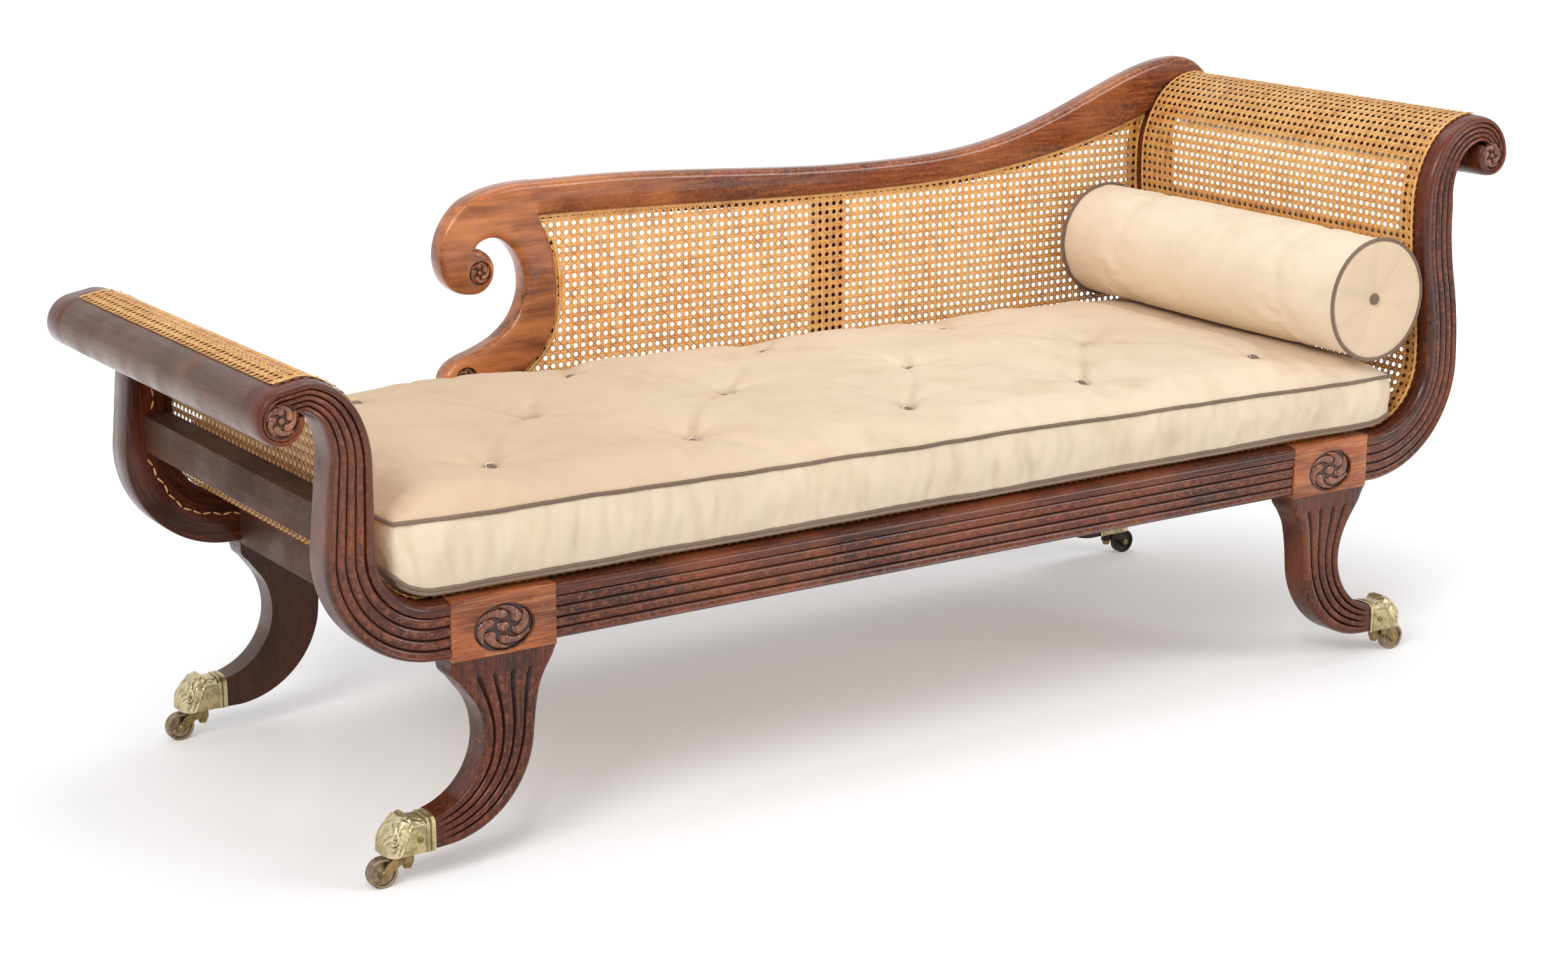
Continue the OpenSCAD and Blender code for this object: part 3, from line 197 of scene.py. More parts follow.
def skin(name, rings, attrs=None, angle=40):
    """A closed skin over rings of points, capped at both ends."""
    rings = np.asarray(rings, float)
    m, n = rings.shape[:2]
    faces = quads_of(m, n).tolist() + [list(range(n))[::-1], [(m - 1) * n + i for i in range(n)]]
    return mesh_of(name, rings.reshape(-1, 3), faces, attrs, angle=angle)


def grid_mesh(name, verts, quads, angle, **attrs):
    """A large mesh of quads, straight from arrays."""
    mesh = bpy.data.meshes.new(name)
    quads = np.asarray(quads, np.int32)
    mesh.vertices.add(len(verts))
    mesh.vertices.foreach_set("co", (np.asarray(verts, np.float32) * MM).ravel())
    mesh.loops.add(quads.size)
    mesh.loops.foreach_set("vertex_index", quads.ravel())
    mesh.polygons.add(len(quads))
    mesh.polygons.foreach_set("loop_start", np.arange(0, quads.size, 4, dtype=np.int32))
    mesh.update(calc_edges=True)
    add_values(mesh, **attrs)
    shade(mesh, angle)
    return mesh


def evaluated(obj):
    return obj.evaluated_get(bpy.context.evaluated_depsgraph_get())


def apply_modifiers(obj):
    mesh = bpy.data.meshes.new_from_object(evaluated(obj))
    obj.modifiers.clear()
    obj.data = mesh


def cut(obj, angle, *cutters):
    """Takes cutters out of obj for good."""
    for c in cutters:
        mod = obj.modifiers.new("cut", "BOOLEAN")
        mod.operation, mod.solver, mod.object = "DIFFERENCE", "EXACT", c
    apply_modifiers(obj)
    for c in cutters:
        bpy.data.objects.remove(c)
    shade(obj.data, angle)


def oval(cx, cz, rx, rz, n):
    t = 2 * np.pi * np.arange(n) / n
    return np.stack([cx + rx * np.cos(t), cz + rz * np.sin(t)], 1)


def box(x0, x1, z0, z1):
    return [(x0, z0), (x1, z0), (x1, z1), (x0, z1)]


def bevelled(bm, width, angle):
    """Eases the edges that are sharper than angle."""
    bmesh.ops.remove_doubles(bm, verts=bm.verts, dist=2e-5)
    bmesh.ops.dissolve_limit(bm, angle_limit=math.radians(0.6), verts=bm.verts, edges=bm.edges)
    sharp = [e for e in bm.edges if len(e.link_faces) == 2 and e.calc_face_angle(0) > math.radians(angle)]
    bmesh.ops.bevel(bm, geom=sharp, offset=width * MM, offset_type="OFFSET", segments=2, profile=0.6,
                    affect="EDGES", clamp_overlap=True)


def set_grain(mesh, rows):
    """Where each point lies in the plank: along, across and through the grain, in millimetres."""
    data = mesh.attributes.new("grain", "FLOAT_VECTOR", "POINT").data
    data.foreach_set("vector", (np.asarray(rows, np.float32) * MM).ravel())


# by material name: the axis that the grain follows, if any, and the slot
GRAIN, SLOTS = {}, {}


def finish_piece(obj, material, *nodes, body="frame", slot=None):
    """Gives a piece its grain and material and its body, and hides the CAD nodes that it stands for; slot is not used.
    """
    axis = GRAIN.get(material.name)
    if axis is not None and "grain" not in obj.data.attributes:
        set_grain(obj.data, np.roll(coords(obj.data), -axis, 1))
    obj.data.materials.clear()
    obj.data.materials.append(material)
    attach(obj, body)
    if nodes:
        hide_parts(*nodes)


def coords(mesh, source="vertices", field="co"):
    """The points of a mesh in millimetres, or another vector of each."""
    co = np.empty(len(mesh.vertices) * 3, np.float32)
    getattr(mesh, source).foreach_get(field, co)
    return co.reshape(-1, 3).astype(float) / (MM if field == "co" else 1)


def eased(node, width, material, body="frame", angle=30, slot=None):
    """A CAD node's own shape with its sharp edges eased."""
    mesh = bpy.data.meshes.new(node + "_eased")
    with edited(mesh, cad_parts[node].data) as bm:
        bevelled(bm, width, angle)
    shade(mesh, 35)
    finish_piece(new_object(node + "_piece", mesh), material, node, body=body, slot=slot)


# ---- materials ------------------------------------------------------------------------------

# ---- materials ------------------------------------------------------------------------------
def linear(rgb):
    return [(c / 255 / 12.92 if c <= 10 else ((c / 255 + 0.055) / 1.055) ** 2.4) for c in rgb] + [1]


class Nodes:
    """A short way to write a material's node tree."""

    def __init__(self, name, slot=None):
        self.mat = bpy.data.materials.new(name)
        SLOTS[self.mat.name] = slot or name
        self.mat.use_nodes = True
        self.tree = self.mat.node_tree
        self.tree.nodes.clear()
        self.out = self.tree.nodes.new("ShaderNodeOutputMaterial")
        self.bsdf = self.tree.nodes.new("ShaderNodeBsdfPrincipled")
        self.link(self.bsdf.outputs[0], self.out.inputs[0])

    def link(self, a, b):
        self.tree.links.new(a, b)

    def put(self, socket, value):
        if isinstance(value, bpy.types.NodeSocket):
            self.link(value, socket)
        else:
            socket.default_value = value

    def node(self, kind, out=0, props=None, **inputs):
        n = self.tree.nodes.new("ShaderNode" + kind)
        for k, v in (props or {}).items():
            setattr(n, k, v)
        for k, v in inputs.items():
            self.put(n.inputs[int(k[1:])] if k[0] == "i" and k[1:].isdigit() else n.inputs[k], v)
        return n.outputs[out]

    def spot(self, scale=(1, 1, 1), turn=(0, 0, 0)):
        coords = self.tree.nodes.new("ShaderNodeTexCoord").outputs["Object"]
        return self.node("Mapping", Vector=coords, Scale=scale, Rotation=turn)

    def noise(self, vector, scale, detail=4, rough=0.55, distortion=0.0):
        return self.node("TexNoise", Vector=vector, Scale=scale, Detail=detail, Roughness=rough,
                         Distortion=distortion)

    def math(self, op, a, b):
        return self.node("Math", props={"operation": op}, i0=a, i1=b)

    def times(self, a, b):
        return self.math("MULTIPLY", a, b)

    def ramp(self, value, low, high, to_low=0.0, to_high=1.0):
        return self.node("MapRange", props={"clamp": True, "interpolation_type": "SMOOTHSTEP"}, i0=value,
                         i1=low, i2=high, i3=to_low, i4=to_high)

    def patches(self, vector, scale, detail, rough, distortion, *ramp):
        return self.ramp(self.noise(vector, scale, detail, rough, distortion), *ramp)

    def mix(self, factor, a, b):
        n = self.tree.nodes.new("ShaderNodeMix")
        n.data_type = "RGBA"
        for k, value in ((0, factor), (6, a), (7, b)):
            self.put(n.inputs[k], value)
        return n.outputs[2]

    def over(self, factor, rgb, share=1):
        """Lays a colour over the colour so far, as strongly as factor times share."""
        self.colour = self.mix(factor if share == 1 else self.times(factor, share), self.colour, linear(rgb))

    def attr(self, name):
        return self.node("Attribute", out=2, props={"attribute_name": name})

    def done(self, bump=None, **inputs):
        """Sets the shader's inputs; bump is height, strength and distance."""
        if bump:
            inputs["Normal"] = self.node("Bump", Height=bump[0], Strength=bump[1], Distance=bump[2])
        for k, v in {"Base_Color": self.colour, **inputs}.items():
            self.put(self.bsdf.inputs[k.replace("_", " ")], v)
        return self.mat


def wood(name, dark, mid, light, shine=0.3, wear=1.0, coat=0.22, spec=0.2, left_lightening=0.0, grain=0, slot="mahogany"):
    """Waxed mahogany, its figure and pores laid along the grain attribute."""
    n = Nodes(name, slot)
    GRAIN[n.mat.name] = grain
    where = n.node("Attribute", out=1, props={"attribute_name": "grain"})
    plain = n.spot()

    def plank(along, across, *detail):
        return n.noise(n.node("Mapping", Vector=where, Scale=(along, across, across)), 1.0, *detail)
    figure = n.math("ADD", n.times(plank(3.4, 34, 6, 0.6, 0.8), 0.5), n.times(plank(3.0, 9, 3, 0.5, 0.6), 0.54))
    n.colour = linear(dark)
    n.over(n.ramp(figure, 0.36, 0.7), mid)
    n.over(n.ramp(plank(16, 240, 4, 0.6, 0.4), 0.45, 0.75, 0, 0.36), light)
    n.over(n.patches(plain, 5, 3, 0.5, 0.6, 0.5, 0.78, 0, 0.5), light)
    pores = n.ramp(plank(70, 950, 2, 0.5), 0.6, 0.7)
    n.over(pores, [c * 0.36 for c in dark], 0.6)
    # lighter towards the left end, in streaks along the grain
    if left_lightening:
        toward_left = n.ramp(n.node("SeparateXYZ", Vector=where), -0.5, 0.1, left_lightening, 0)
        n.over(n.times(toward_left, n.ramp(plank(5, 30, 3, 0.6, 0.5), 0.36, 0.66, 0.15, 1)), light)
    n.over(n.patches(plain, 9, 4, 0.6, 0.4, 0.46, 0.72), [c * 0.7 for c in dark], 0.2)
    # painted shade: colour darkened in the grooves, flutes and rosettes' gaps by the cavity attribute; the same mask
    # also raises the roughness there
    recess_shade = n.times(n.ramp(n.attr("cavity"), 0.1, 0.9), 0.88)
    n.over(recess_shade, (24, 12, 8))
    # lighter flecks by the edge attribute: wear on the reeds' crowns and the carving, and a painted highlight along the
    # crest's and back scroll's rounded rims
    n.over(n.times(n.attr("edge"), n.ramp(n.noise(plain, 170, 5, 0.75), 0.44, 0.64)), light, 0.7 * wear)
    nicks = n.patches(n.spot((120, 120, 120)), 1.0, 3, 0.75, 1.4, 0.68, 0.71)
    n.over(nicks, (28, 15, 11), 0.6 * wear)
    scratch = n.ramp(n.noise(n.spot((900, 24, 260), (0.3, 0.5, 0.9)), 1.0, 2, 0.5), 0.72, 0.76)
    n.over(scratch, [min(255, c * 1.25) for c in light], 0.35 * wear)
    dull = n.math("ADD", n.ramp(n.noise(plain, 16, 4), 0.3, 0.7, shine - 0.07, shine + 0.12), n.times(recess_shade, 0.25))
    height = n.math("SUBTRACT", n.times(n.noise(plain, 30, 4, 0.6), 0.6),
                    n.math("ADD", n.times(pores, 0.25), n.times(nicks, 0.6)))
    return n.done((height, 0.4, 0.0008), Roughness=dull, Specular_IOR_Level=spec, Coat_Weight=coat,
                  Coat_Roughness=0.13)


FRAME_WOOD = (41, 14, 7), (93, 38, 19), (152, 82, 46)
INNER_WOOD = (54, 30, 20), (92, 53, 34), (120, 76, 50)
wood_x = wood("mahogany_x", *FRAME_WOOD)
wood_z = wood("mahogany_z", *FRAME_WOOD, grain=2)
wood_y = wood("mahogany_y", (52, 25, 15), (94, 51, 31), (136, 82, 51), 0.34, coat=0.1, spec=0.32, grain=1)
wood_crest = wood("mahogany_crest", (62, 23, 11), (130, 60, 30), (218, 136, 78), 0.24, coat=0.5, left_lightening=0.8)
wood_block = wood("mahogany_block", (96, 42, 20), (188, 106, 60), (238, 166, 108), 0.26)
# painted shade: a darker copy of the frame mahogany for the rear legs, which stand back in the shade
wood_rear_shaded = wood("mahogany_rear_shaded", (30, 12, 7), (66, 29, 16), (108, 60, 36), coat=0.2, grain=2)
wood_carved = wood("mahogany_carved", (70, 34, 22), (128, 70, 46), (206, 140, 98), 0.2, coat=0.5, grain=2)
wood_dark, wood_dark_y = (wood(name, *INNER_WOOD, 0.55, 0.4, 0.0, grain=axis, slot="inner_wood")
                          for name, axis in (("inner_wood", None), ("inner_wood_y", 1)))


def cane_material():
    n = Nodes("cane")
    plain = n.spot()
    n.colour = linear((206, 142, 72))
    n.over(n.attr("tone"), (240, 186, 112))
    n.over(n.ramp(n.noise(plain, 60, 3), 0.45, 0.72, 0, 0.6), (168, 104, 52))
    n.over(n.ramp(n.noise(plain, 7, 2), 0.4, 0.7, 0, 0.3), (246, 204, 134))
    return n.done(Roughness=n.ramp(n.noise(plain, 200, 2), 0.3, 0.7, 0.3, 0.5), Specular_IOR_Level=0.5)


def metal(name, base, tarnish, high, rough=0.4, patina=0.8, metallic=0.9, slot=None):
    n = Nodes(name, slot)
    plain = n.spot()
    n.colour = linear(base)
    n.over(n.ramp(n.noise(plain, 95, 5, 0.65), 0.4, 0.66), tarnish, patina)
    n.over(n.ramp(n.attr("cavity"), 0.1, 0.9), [c * 0.3 for c in tarnish], 0.85)
    n.over(n.attr("edge"), high, 0.6)
    return n.done((n.noise(plain, 260, 4, 0.6), 0.3, 0.0004), Metallic=metallic,
                  Roughness=n.ramp(n.noise(plain, 180, 4), 0.3, 0.7, rough - 0.08, rough + 0.14))


def suede(name, base, nap_and_shade, warm, nap=0.5, slot=None):
    """Napped cloth in brushed patches, tinted by attributes of the mesh: painted shade on the cushion's top towards the
    foot end and on the bolster's ends, darker on the underside, and painted shade in folds, dimples and gathers.
    """
    n = Nodes(name, slot)
    plain = n.spot()
    n.colour = linear(base)
    n.over(n.patches(plain, 5.5, 3, 0.55, 0.4, 0.38, 0.68), warm)
    # painted shade: the cushion's top darker towards the foot end, and the bolster's ends darker
    n.over(n.attr("tan"), nap_and_shade)
    n.over(n.patches(plain, 11, 5, 0.6, 0.3, 0.44, 0.8, 0, nap * 0.8), nap_and_shade)
    n.over(n.attr("under"), (158, 136, 116), 0.8)
    # painted shade in the folds, dimples and gathers, by the cavity attribute
    n.over(n.attr("cavity"), [c * 0.8 for c in nap_and_shade], 0.6)
    n.over(n.ramp(n.noise(plain, 900, 3, 0.7), 0.35, 0.75, 0, 0.22), nap_and_shade)
    height = n.math("ADD", n.times(n.noise(plain, 1300, 3, 0.7), 0.3), n.times(n.noise(plain, 120, 3, 0.6), 0.7))
    return n.done((height, 0.25, 0.0006), Roughness=0.92, Specular_IOR_Level=0.25, Sheen_Weight=0.22,
                  Sheen_Roughness=0.45, Sheen_Tint=linear((255, 240, 220)))


cane_mat = cane_material()
brass = metal("sabot_brass", (188, 171, 128), (124, 110, 76), (234, 222, 188), patina=0.75)
worn_metal = metal("castor_metal", (150, 128, 82), (84, 68, 46), (200, 180, 132))
wheel_metal = metal("wheel_brass", (158, 138, 112), (96, 78, 62), (214, 200, 172))
cream = suede("cream_suede", (226, 206, 182), (200, 170, 138), (234, 213, 188))
# painted light: a lighter copy of the cream suede, for the bolster
cream_lit = suede("cream_suede_lit", (240, 222, 198), (214, 186, 154), (245, 228, 204), slot="cream_suede")
taupe = suede("taupe_trim", (122, 101, 88), (92, 74, 64), (134, 112, 98), 0.4)

# ---- plain wood -----------------------------------------------------------------------------
for material, names in ((wood_dark, "rear_rail"),
                        (wood_dark_y, "foot_end_rail head_end_rail seat_battens foot_upper_rail head_upper_rail"),
                        (wood_dark, "back_bottom_rail back_batten"), (wood_z, "block_foot_rear block_head_rear")):
    for node in names.split():
        eased(node, 1.4, material)

# ---- reeded mouldings -----------------------------------------------------------------------
GROOVES = (0.24, 0.43, 0.62, 0.8)
SUNK = 1.4


def reed_profile():
    """[share of the width, depth, how deep in a groove, how much of an edge], from the seat side."""
    pts = [(0, FRAME_T, 0, 0)]
    for a in np.linspace(0, math.pi / 2, 8):
        pts.append((0.14 * (1 - math.cos(a)), SEAT_BEAD * (1 - math.sin(a)), 0, 0.35 * math.sin(2 * a)))
    pts += [(GROOVES[0] - 0.03, 0, 0, 0.5), (GROOVES[0] - 0.012, 0.5, 0.1, 0.9)]
    stops = [*GROOVES, 0.985]
    for i, g in enumerate(GROOVES):
        pts.append((g + 0.004, REED, 1, 0))
        for k in range(1, 12 if i + 1 < len(GROOVES) else 7):
            c = math.cos(math.pi * k / 12)
            low = 1 - math.sqrt(max(0, 1 - c * c))
            pts.append((g + (stops[i + 1] - g) * (1 - c) / 2, SUNK + (REED - SUNK) * low, low ** 1.3,
                        max(0, 1 - 2.2 * low)))
    for a in np.linspace(0, math.pi / 2, 7)[1:]:
        pts.append((0.9 + 0.1 * math.sin(a), OUTER_BEAD * (1 - math.cos(a)), 0, 0.3 * math.sin(2 * a)))
    return np.array([*pts, (1, FRAME_T, 0, 0)])


PROFILE = reed_profile()


def flow(st, shares, depths):
    """Grain that follows a scroll, for rings of section points."""
    run = run_along(shifted(st, -0.5 * st[:, 3:4]))
    return np.stack([np.repeat(run, len(shares)), (shares * st[:, 3:4]).ravel(), np.tile(depths, len(st))], 1)


def section_ring(scroll, s, shares, y):
    """A section's points at one station, by their shares of the width and their y."""
    q = mirrored(scroll, s[:2] - shares[:, None] * s[3] * left_of(s[2]))
    return np.stack([q[:, 0], y, q[:, 1]], 1)


def scroll_front(scroll, end):
    st = scroll["stations"]
    is_reed = (PROFILE[:, 2] > 0) | ((PROFILE[:, 0] > GROOVES[0]) & (PROFILE[:, 0] < 0.9))
    fade = np.clip((scroll["first"][-1] + 1 - np.arange(len(st)) / FINE) / 14, 0.1, 1)
    rings = [section_ring(scroll, s, PROFILE[:, 0], FRONT_Y + PROFILE[:, 1] * np.where(is_reed, k, 1))
             for s, k in zip(st, fade)]
    name = f"{end}_scroll_front"
    mesh = skin(name + "_reeded", rings, {"cavity": np.outer(fade, PROFILE[:, 2]).ravel(),
                                          "edge": np.tile(PROFILE[:, 3], len(st))}, angle=50)
    set_grain(mesh, flow(st, PROFILE[:, 0], PROFILE[:, 1]))
    obj = new_object(name + "_reeded", mesh)
    x, z = mirrored(scroll, scroll["eye"][None])[0]
    cut(obj, 50, prism("cutter", oval(x, z, 20, 20, 64), FRONT_Y - 3, FRONT_Y + CARVE))
    finish_piece(obj, wood_z, name)


def prism(name, outline, y0, y1):
    """A flat outline in x and z, stood on edge from y0 to y1."""
    return new_object(name, skin(name, [np.insert(np.asarray(outline, float), 1, y, 1) for y in (y0, y1)],
                                 angle=35))


def soft_slab(name, outline, y0, y1, front, rear, flat_x):
    """Like prism, but with rims rounded by their own radii, smaller where the outline turns tightly."""
    p = np.asarray(outline, float)
    area = (p[:, 0] * np.roll(p[:, 1], -1) - np.roll(p[:, 0], -1) * p[:, 1]).sum() / 2
    if area < 0:
        p = p[::-1]
    before, after = np.roll(p, 1, 0), np.roll(p, -1, 0)
    d = after - before
    gap = np.linalg.norm(d, axis=1)
    d /= gap[:, None]
    inward = np.stack([-d[:, 1], d[:, 0]], 1)
    a, b = p - before, after - p
    turn = np.arctan2(a[:, 0] * b[:, 1] - a[:, 1] * b[:, 0], (a * b).sum(1))
    free = 99
    limit = np.where(turn > 0.02, 0.62 * gap / 2 / np.maximum(turn, 1e-6), free)
    joint = np.abs(p[:, 0] - flat_x) < 0.6
    limit[joint] = free
    inward[joint] = np.stack([0 * inward[joint][:, 0], np.sign(inward[joint][:, 1])], 1)
    # edge values peak midway round the front rim's rounding: partly wear, partly a painted highlight of lighter flecks
    rings, shine = [], [0.1, 0.3, 0.5, 0.5, 0.3, 0.1]
    t = np.linspace(0, math.pi / 2, len(shine))
    for r, turns, y, way in ((front, t, y0, 1), (rear, t[::-1], y1, -1)):
        r = np.minimum(r, limit)
        for _ in range(5):
            r = np.minimum(r, (np.roll(r, 1) + r + np.roll(r, -1)) / 3 + 0.25)
        for _ in range(3):
            r = (np.roll(r, 1) + r + np.roll(r, -1)) / 3
        r = np.minimum(r, limit)
        for a in turns:
            q = p + inward * r[:, None] * (1 - math.sin(a))
            rings.append(np.stack([q[:, 0], y + way * r * (1 - math.cos(a)), q[:, 1]], 1))
    return new_object(name, skin(name, rings, {"edge": np.repeat(shine + [0.2] * len(t), len(p))}))


def band_outline(scroll, stop=None):
    st = scroll["stations"][:stop]
    return mirrored(scroll, np.concatenate([st[:, :2], shifted(st, -st[:, 3:4])[::-1]]))


CARVE = 5
for scroll, end in ENDS:
    scroll_front(scroll, end)

CORNER = [(0, 2), (0.012, 0.5), (0.035, 0)]
half = CORNER + [(1 - a, d) for a, d in CORNER[::-1]]
SECTION = np.array(half + [(a, FRAME_T - d) for a, d in half[::-1]])
for scroll, end in ENDS:
    st, node = scroll["stations"], f"{end}_scroll_rear"
    rings = [section_ring(scroll, s, SECTION[:, 0], INNER_Y + SECTION[:, 1]) for s in st]
    mesh = skin(node + "_plain", rings)
    set_grain(mesh, flow(st, SECTION[:, 0], SECTION[:, 1] + 300))
    finish_piece(new_object(node + "_plain", mesh), wood_z, node)

for (scroll, end), back in zip(ENDS, (1, 2)):
    st, node = scroll["stations"][(scroll["cane_last"] - back) * FINE:], f"{end}_roll_board"
    finish_piece(prism(node + "_board", mirrored(scroll, st), -INNER_Y, INNER_Y), wood_y, node)

rail_x = np.linspace(MID_X - RAIL_L / 2, MID_X + RAIL_L / 2, 40)
rings = [np.stack([np.full(len(PROFILE), x), PROFILE[:, 1] + FRONT_Y, SEAT_Z - PROFILE[:, 0] * RAIL_H], 1)
         for x in rail_x]
mesh = skin("front_rail_reeded", rings, {"cavity": np.tile(PROFILE[:, 2], len(rail_x)),
                                         "edge": np.tile(PROFILE[:, 3], len(rail_x))}, angle=50)
finish_piece(new_object("front_rail_reeded", mesh), wood_x, "front_rail")

# ---- leg blocks and rosettes ----------------------------------------------------------------
ROSETTE_Z = SEAT_Z - (RAIL_H + DROP) * 0.57


def rosette(name, nodes, cx, cz, rx, rz, y0, lobes, boss=0.22, fat=1.0):
    """Whirling comma-shaped lobes, veined, round a boss: each lobe's tail runs along the rim."""
    rings, per = 40, lobes * 32
    r = (1 - np.arange(rings + 1) / rings * 0.985)[:, None]
    a = (2 * np.pi * np.arange(per) / per)[None, :]
    px, pz = r * np.cos(a), r * np.sin(a)
    best, where = np.full(px.shape, -1.0), np.zeros(px.shape)
    for k in range(lobes):
        for t in np.linspace(0, 1, 26):
            phi = 2 * np.pi * k / lobes + 1.65 + 6.9 / lobes * (1 - t)
            rc = 0.53 + 0.37 * (1 - t) ** 0.8
            w = (0.05 + 0.155 * t ** 0.75) * fat
            d2 = ((px - rc * np.cos(phi)) ** 2 + (pz - rc * np.sin(phi)) ** 2) / w ** 2
            h = np.maximum(0, 1 - d2) ** 0.42 * (0.55 + 0.45 * t ** 0.7)
            where = np.where(h > best, t, where)
            best = np.maximum(best, h)
    vein = np.abs(((px * 5.1 + pz * 3.3) * 1.6 + np.sin(pz * 19) * 0.35) % 1 - 0.5)
    vein2 = np.abs(((px * 3.1 - pz * 5.7) * 1.5 + np.sin(px * 17) * 0.3) % 1 - 0.5)
    cutin = np.exp(-(np.minimum(vein, vein2 + 0.08) / 0.055) ** 2) * (best > 0.45) * (where < 0.92)
    h = 0.06 + 0.9 * best - 0.15 * cutin
    deep = np.clip(1.1 - 2.1 * best, 0, 1) + 0.75 * cutin
    sharp = np.clip(best - 0.5, 0, 1) * (1 - cutin)
    knob = np.sqrt(np.maximum(0, 1 - (r / boss) ** 2)) + 0 * a
    h = np.where(r < boss, np.maximum(h, 0.3 + 0.62 * knob), h)
    deep = np.where(r < boss, 0.65 * (1 - knob) ** 0.8, deep)
    sharp = np.where(r < boss, 0.5 * knob, sharp)
    rim = np.clip((r - 0.955) / 0.02, 0, 1) + 0 * a
    h = h * (1 - rim) + rim * 0.62
    deep = deep * (1 - rim) + rim * 0.35
    carved = np.stack([cx + rx * px, y0 + CARVE - CARVE * np.clip(h, 0, 1), cz + rz * pz], -1)
    rear = np.insert(oval(cx, cz, rx, rz, per), 1, y0 + CARVE, 1)
    mesh = skin(name, [rear, *carved], {"cavity": np.clip([np.ones(per), *deep], 0, 1).ravel(),
                                        "edge": np.concatenate([np.zeros(per), sharp.ravel()])}, angle=70)
    finish_piece(new_object(name, mesh), wood_carved, *nodes)


for scroll, end in ENDS:
    cx = MID_X + scroll["end"] * SPAN / 2
    lo, hi = cx - BLOCK_W / 2, cx + BLOCK_W / 2
    block = prism(f"block_{end}_front_carved", box(lo, hi, BLOCK_BOTTOM, SEAT_Z), FRONT_Y, FRONT_Y + FRAME_T)
    cut(block, 35, prism("cutter", oval(cx, ROSETTE_Z, 40, 29, 72), FRONT_Y - 3, FRONT_Y + CARVE))
    with edited(block.data) as bm:
        bevelled(bm, 1.3, 40)
    shade(block.data, 35)
    finish_piece(block, wood_block, f"block_{end}_front")
    # one piece stands for both rosettes of a CAD node
    on_block, on_scroll = (["block_rosettes"], ["scroll_rosettes"]) if scroll is FOOT else ([], [])
    rosette(f"block_rosette_{end}", on_block, cx, ROSETTE_Z, 39.6, 28.6, FRONT_Y, 6)
    x, z = mirrored(scroll, scroll["eye"][None])[0]
    rosette(f"scroll_rosette_{end}", on_scroll, x, z, 19.6, 19.6, FRONT_Y, 5, 0.21, 1.2)

# ---- legs -----------------------------------------------------------------------------------
WHEEL_R, WHEEL_CLEAR = 18.5, 2
HOLLOW_R, HOLLOW_X, ROUND_R, ROUND_X = 88, 115, 126, 86
LEG_T, ANKLE_T, SETBACK, LEG_EDGE = 42, 38, 2, 6
RIM_X, SABOT_L, SABOT_W = 96, 64, 42
LEG_Z = 2 * WHEEL_R + WHEEL_CLEAR + ROUND_R
KNEE_H = BLOCK_BOTTOM - LEG_Z
LEG_GROOVES, FLUTE = (0.22, 0.4, 0.6, 0.79), 4
LEG_FINE, FLOW_PASSES = 4, 46
hollow_end = 360 - math.degrees(math.acos((RIM_X - HOLLOW_X) / HOLLOW_R))
round_end = 270 + math.degrees(math.asin((RIM_X - ROUND_X) / ROUND_R))


def hollow_point(a):
    return np.array([HOLLOW_X, LEG_Z]) + HOLLOW_R * ahead(a)


def round_point(a):
    return np.array([ROUND_X, LEG_Z]) + ROUND_R * ahead(a)


def knee_point(s):
    return np.array([s[0] * BLOCK_W / 2, LEG_Z + s[1] * KNEE_H])


ANKLE_TOP, ANKLE_BOTTOM = hollow_point(hollow_end)[1], round_point(round_end)[1]
ANKLE_Y = SETBACK + ANKLE_T / 2


def spline(points, count):
    """Even samples of a smooth curve through the points."""
    p = np.asarray(points, float)
    p = np.concatenate([[2 * p[0] - p[1]], p, [2 * p[-1] - p[-2]]])
    t = (np.arange(count) / count)[:, None]
    out = [0.5 * (2 * b + (c - a) * t + (2 * a - 5 * b + 4 * c - d) * t * t + (3 * b - a - 3 * c + d) * t ** 3)
           for a, b, c, d in zip(p, p[1:], p[2:], p[3:])]
    return np.concatenate([*out, [p[-2]]])


def leg_rings():
    """The leg's hollow side and its round side, point by point from the block to the ankle."""
    knee = [((1, 1), (-1, 1)), ((0.978, 0.835), (-0.986, 0.876)), ((0.84, 0.722), (-0.84, 0.732))]
    outer = [knee_point(k[0]) for k in knee] + [hollow_point(a) for a in (137, 152, 166)]
    inner = [knee_point(k[1]) for k in knee]
    inner += [knee_point(s) for s in ((-0.71, 0.557), (-0.652, 0.392), (-0.601, 0.175))]
    for f in np.linspace(0, 1, 9):
        outer.append(hollow_point(180 + (hollow_end - 180) * f))
        inner.append(round_point(180 + (round_end - 180) * f))
    return [np.concatenate([spline(side[:3], LEG_FINE)[:-1], spline(side[2:], LEG_FINE)]) for side in (outer, inner)]


def leg_profile(reeded):
    """Like reed_profile, for a leg's front face."""
    rim = [(0.0, LEG_EDGE, 0, 0.5), (0.008, 3.4, 0, 0.6), (0.022, 1.6, 0, 0.6), (0.045, 0.4, 0, 0.5),
           (0.075, 0, 0, 0.3)]
    flute = [(-0.045, 0.0), (-0.036, 0.35), (-0.022, 1.7), (-0.009, 3.5)]
    flute += [(0, FLUTE)] + [(-off, d) for off, d in flute[::-1]]
    pts = list(rim)
    for i, g in enumerate(LEG_GROOVES if reeded else ()):
        pts += [(g + off, d + 0.001, d / FLUTE, 0.9 if d < 0.5 else 0) for off, d in flute]
        if i + 1 < len(LEG_GROOVES):
            pts.append(((g + LEG_GROOVES[i + 1]) / 2, 0, 0, 0.4))
    return np.array(pts + [(1 - a, d, c, e) for a, d, c, e in reversed(rim)])


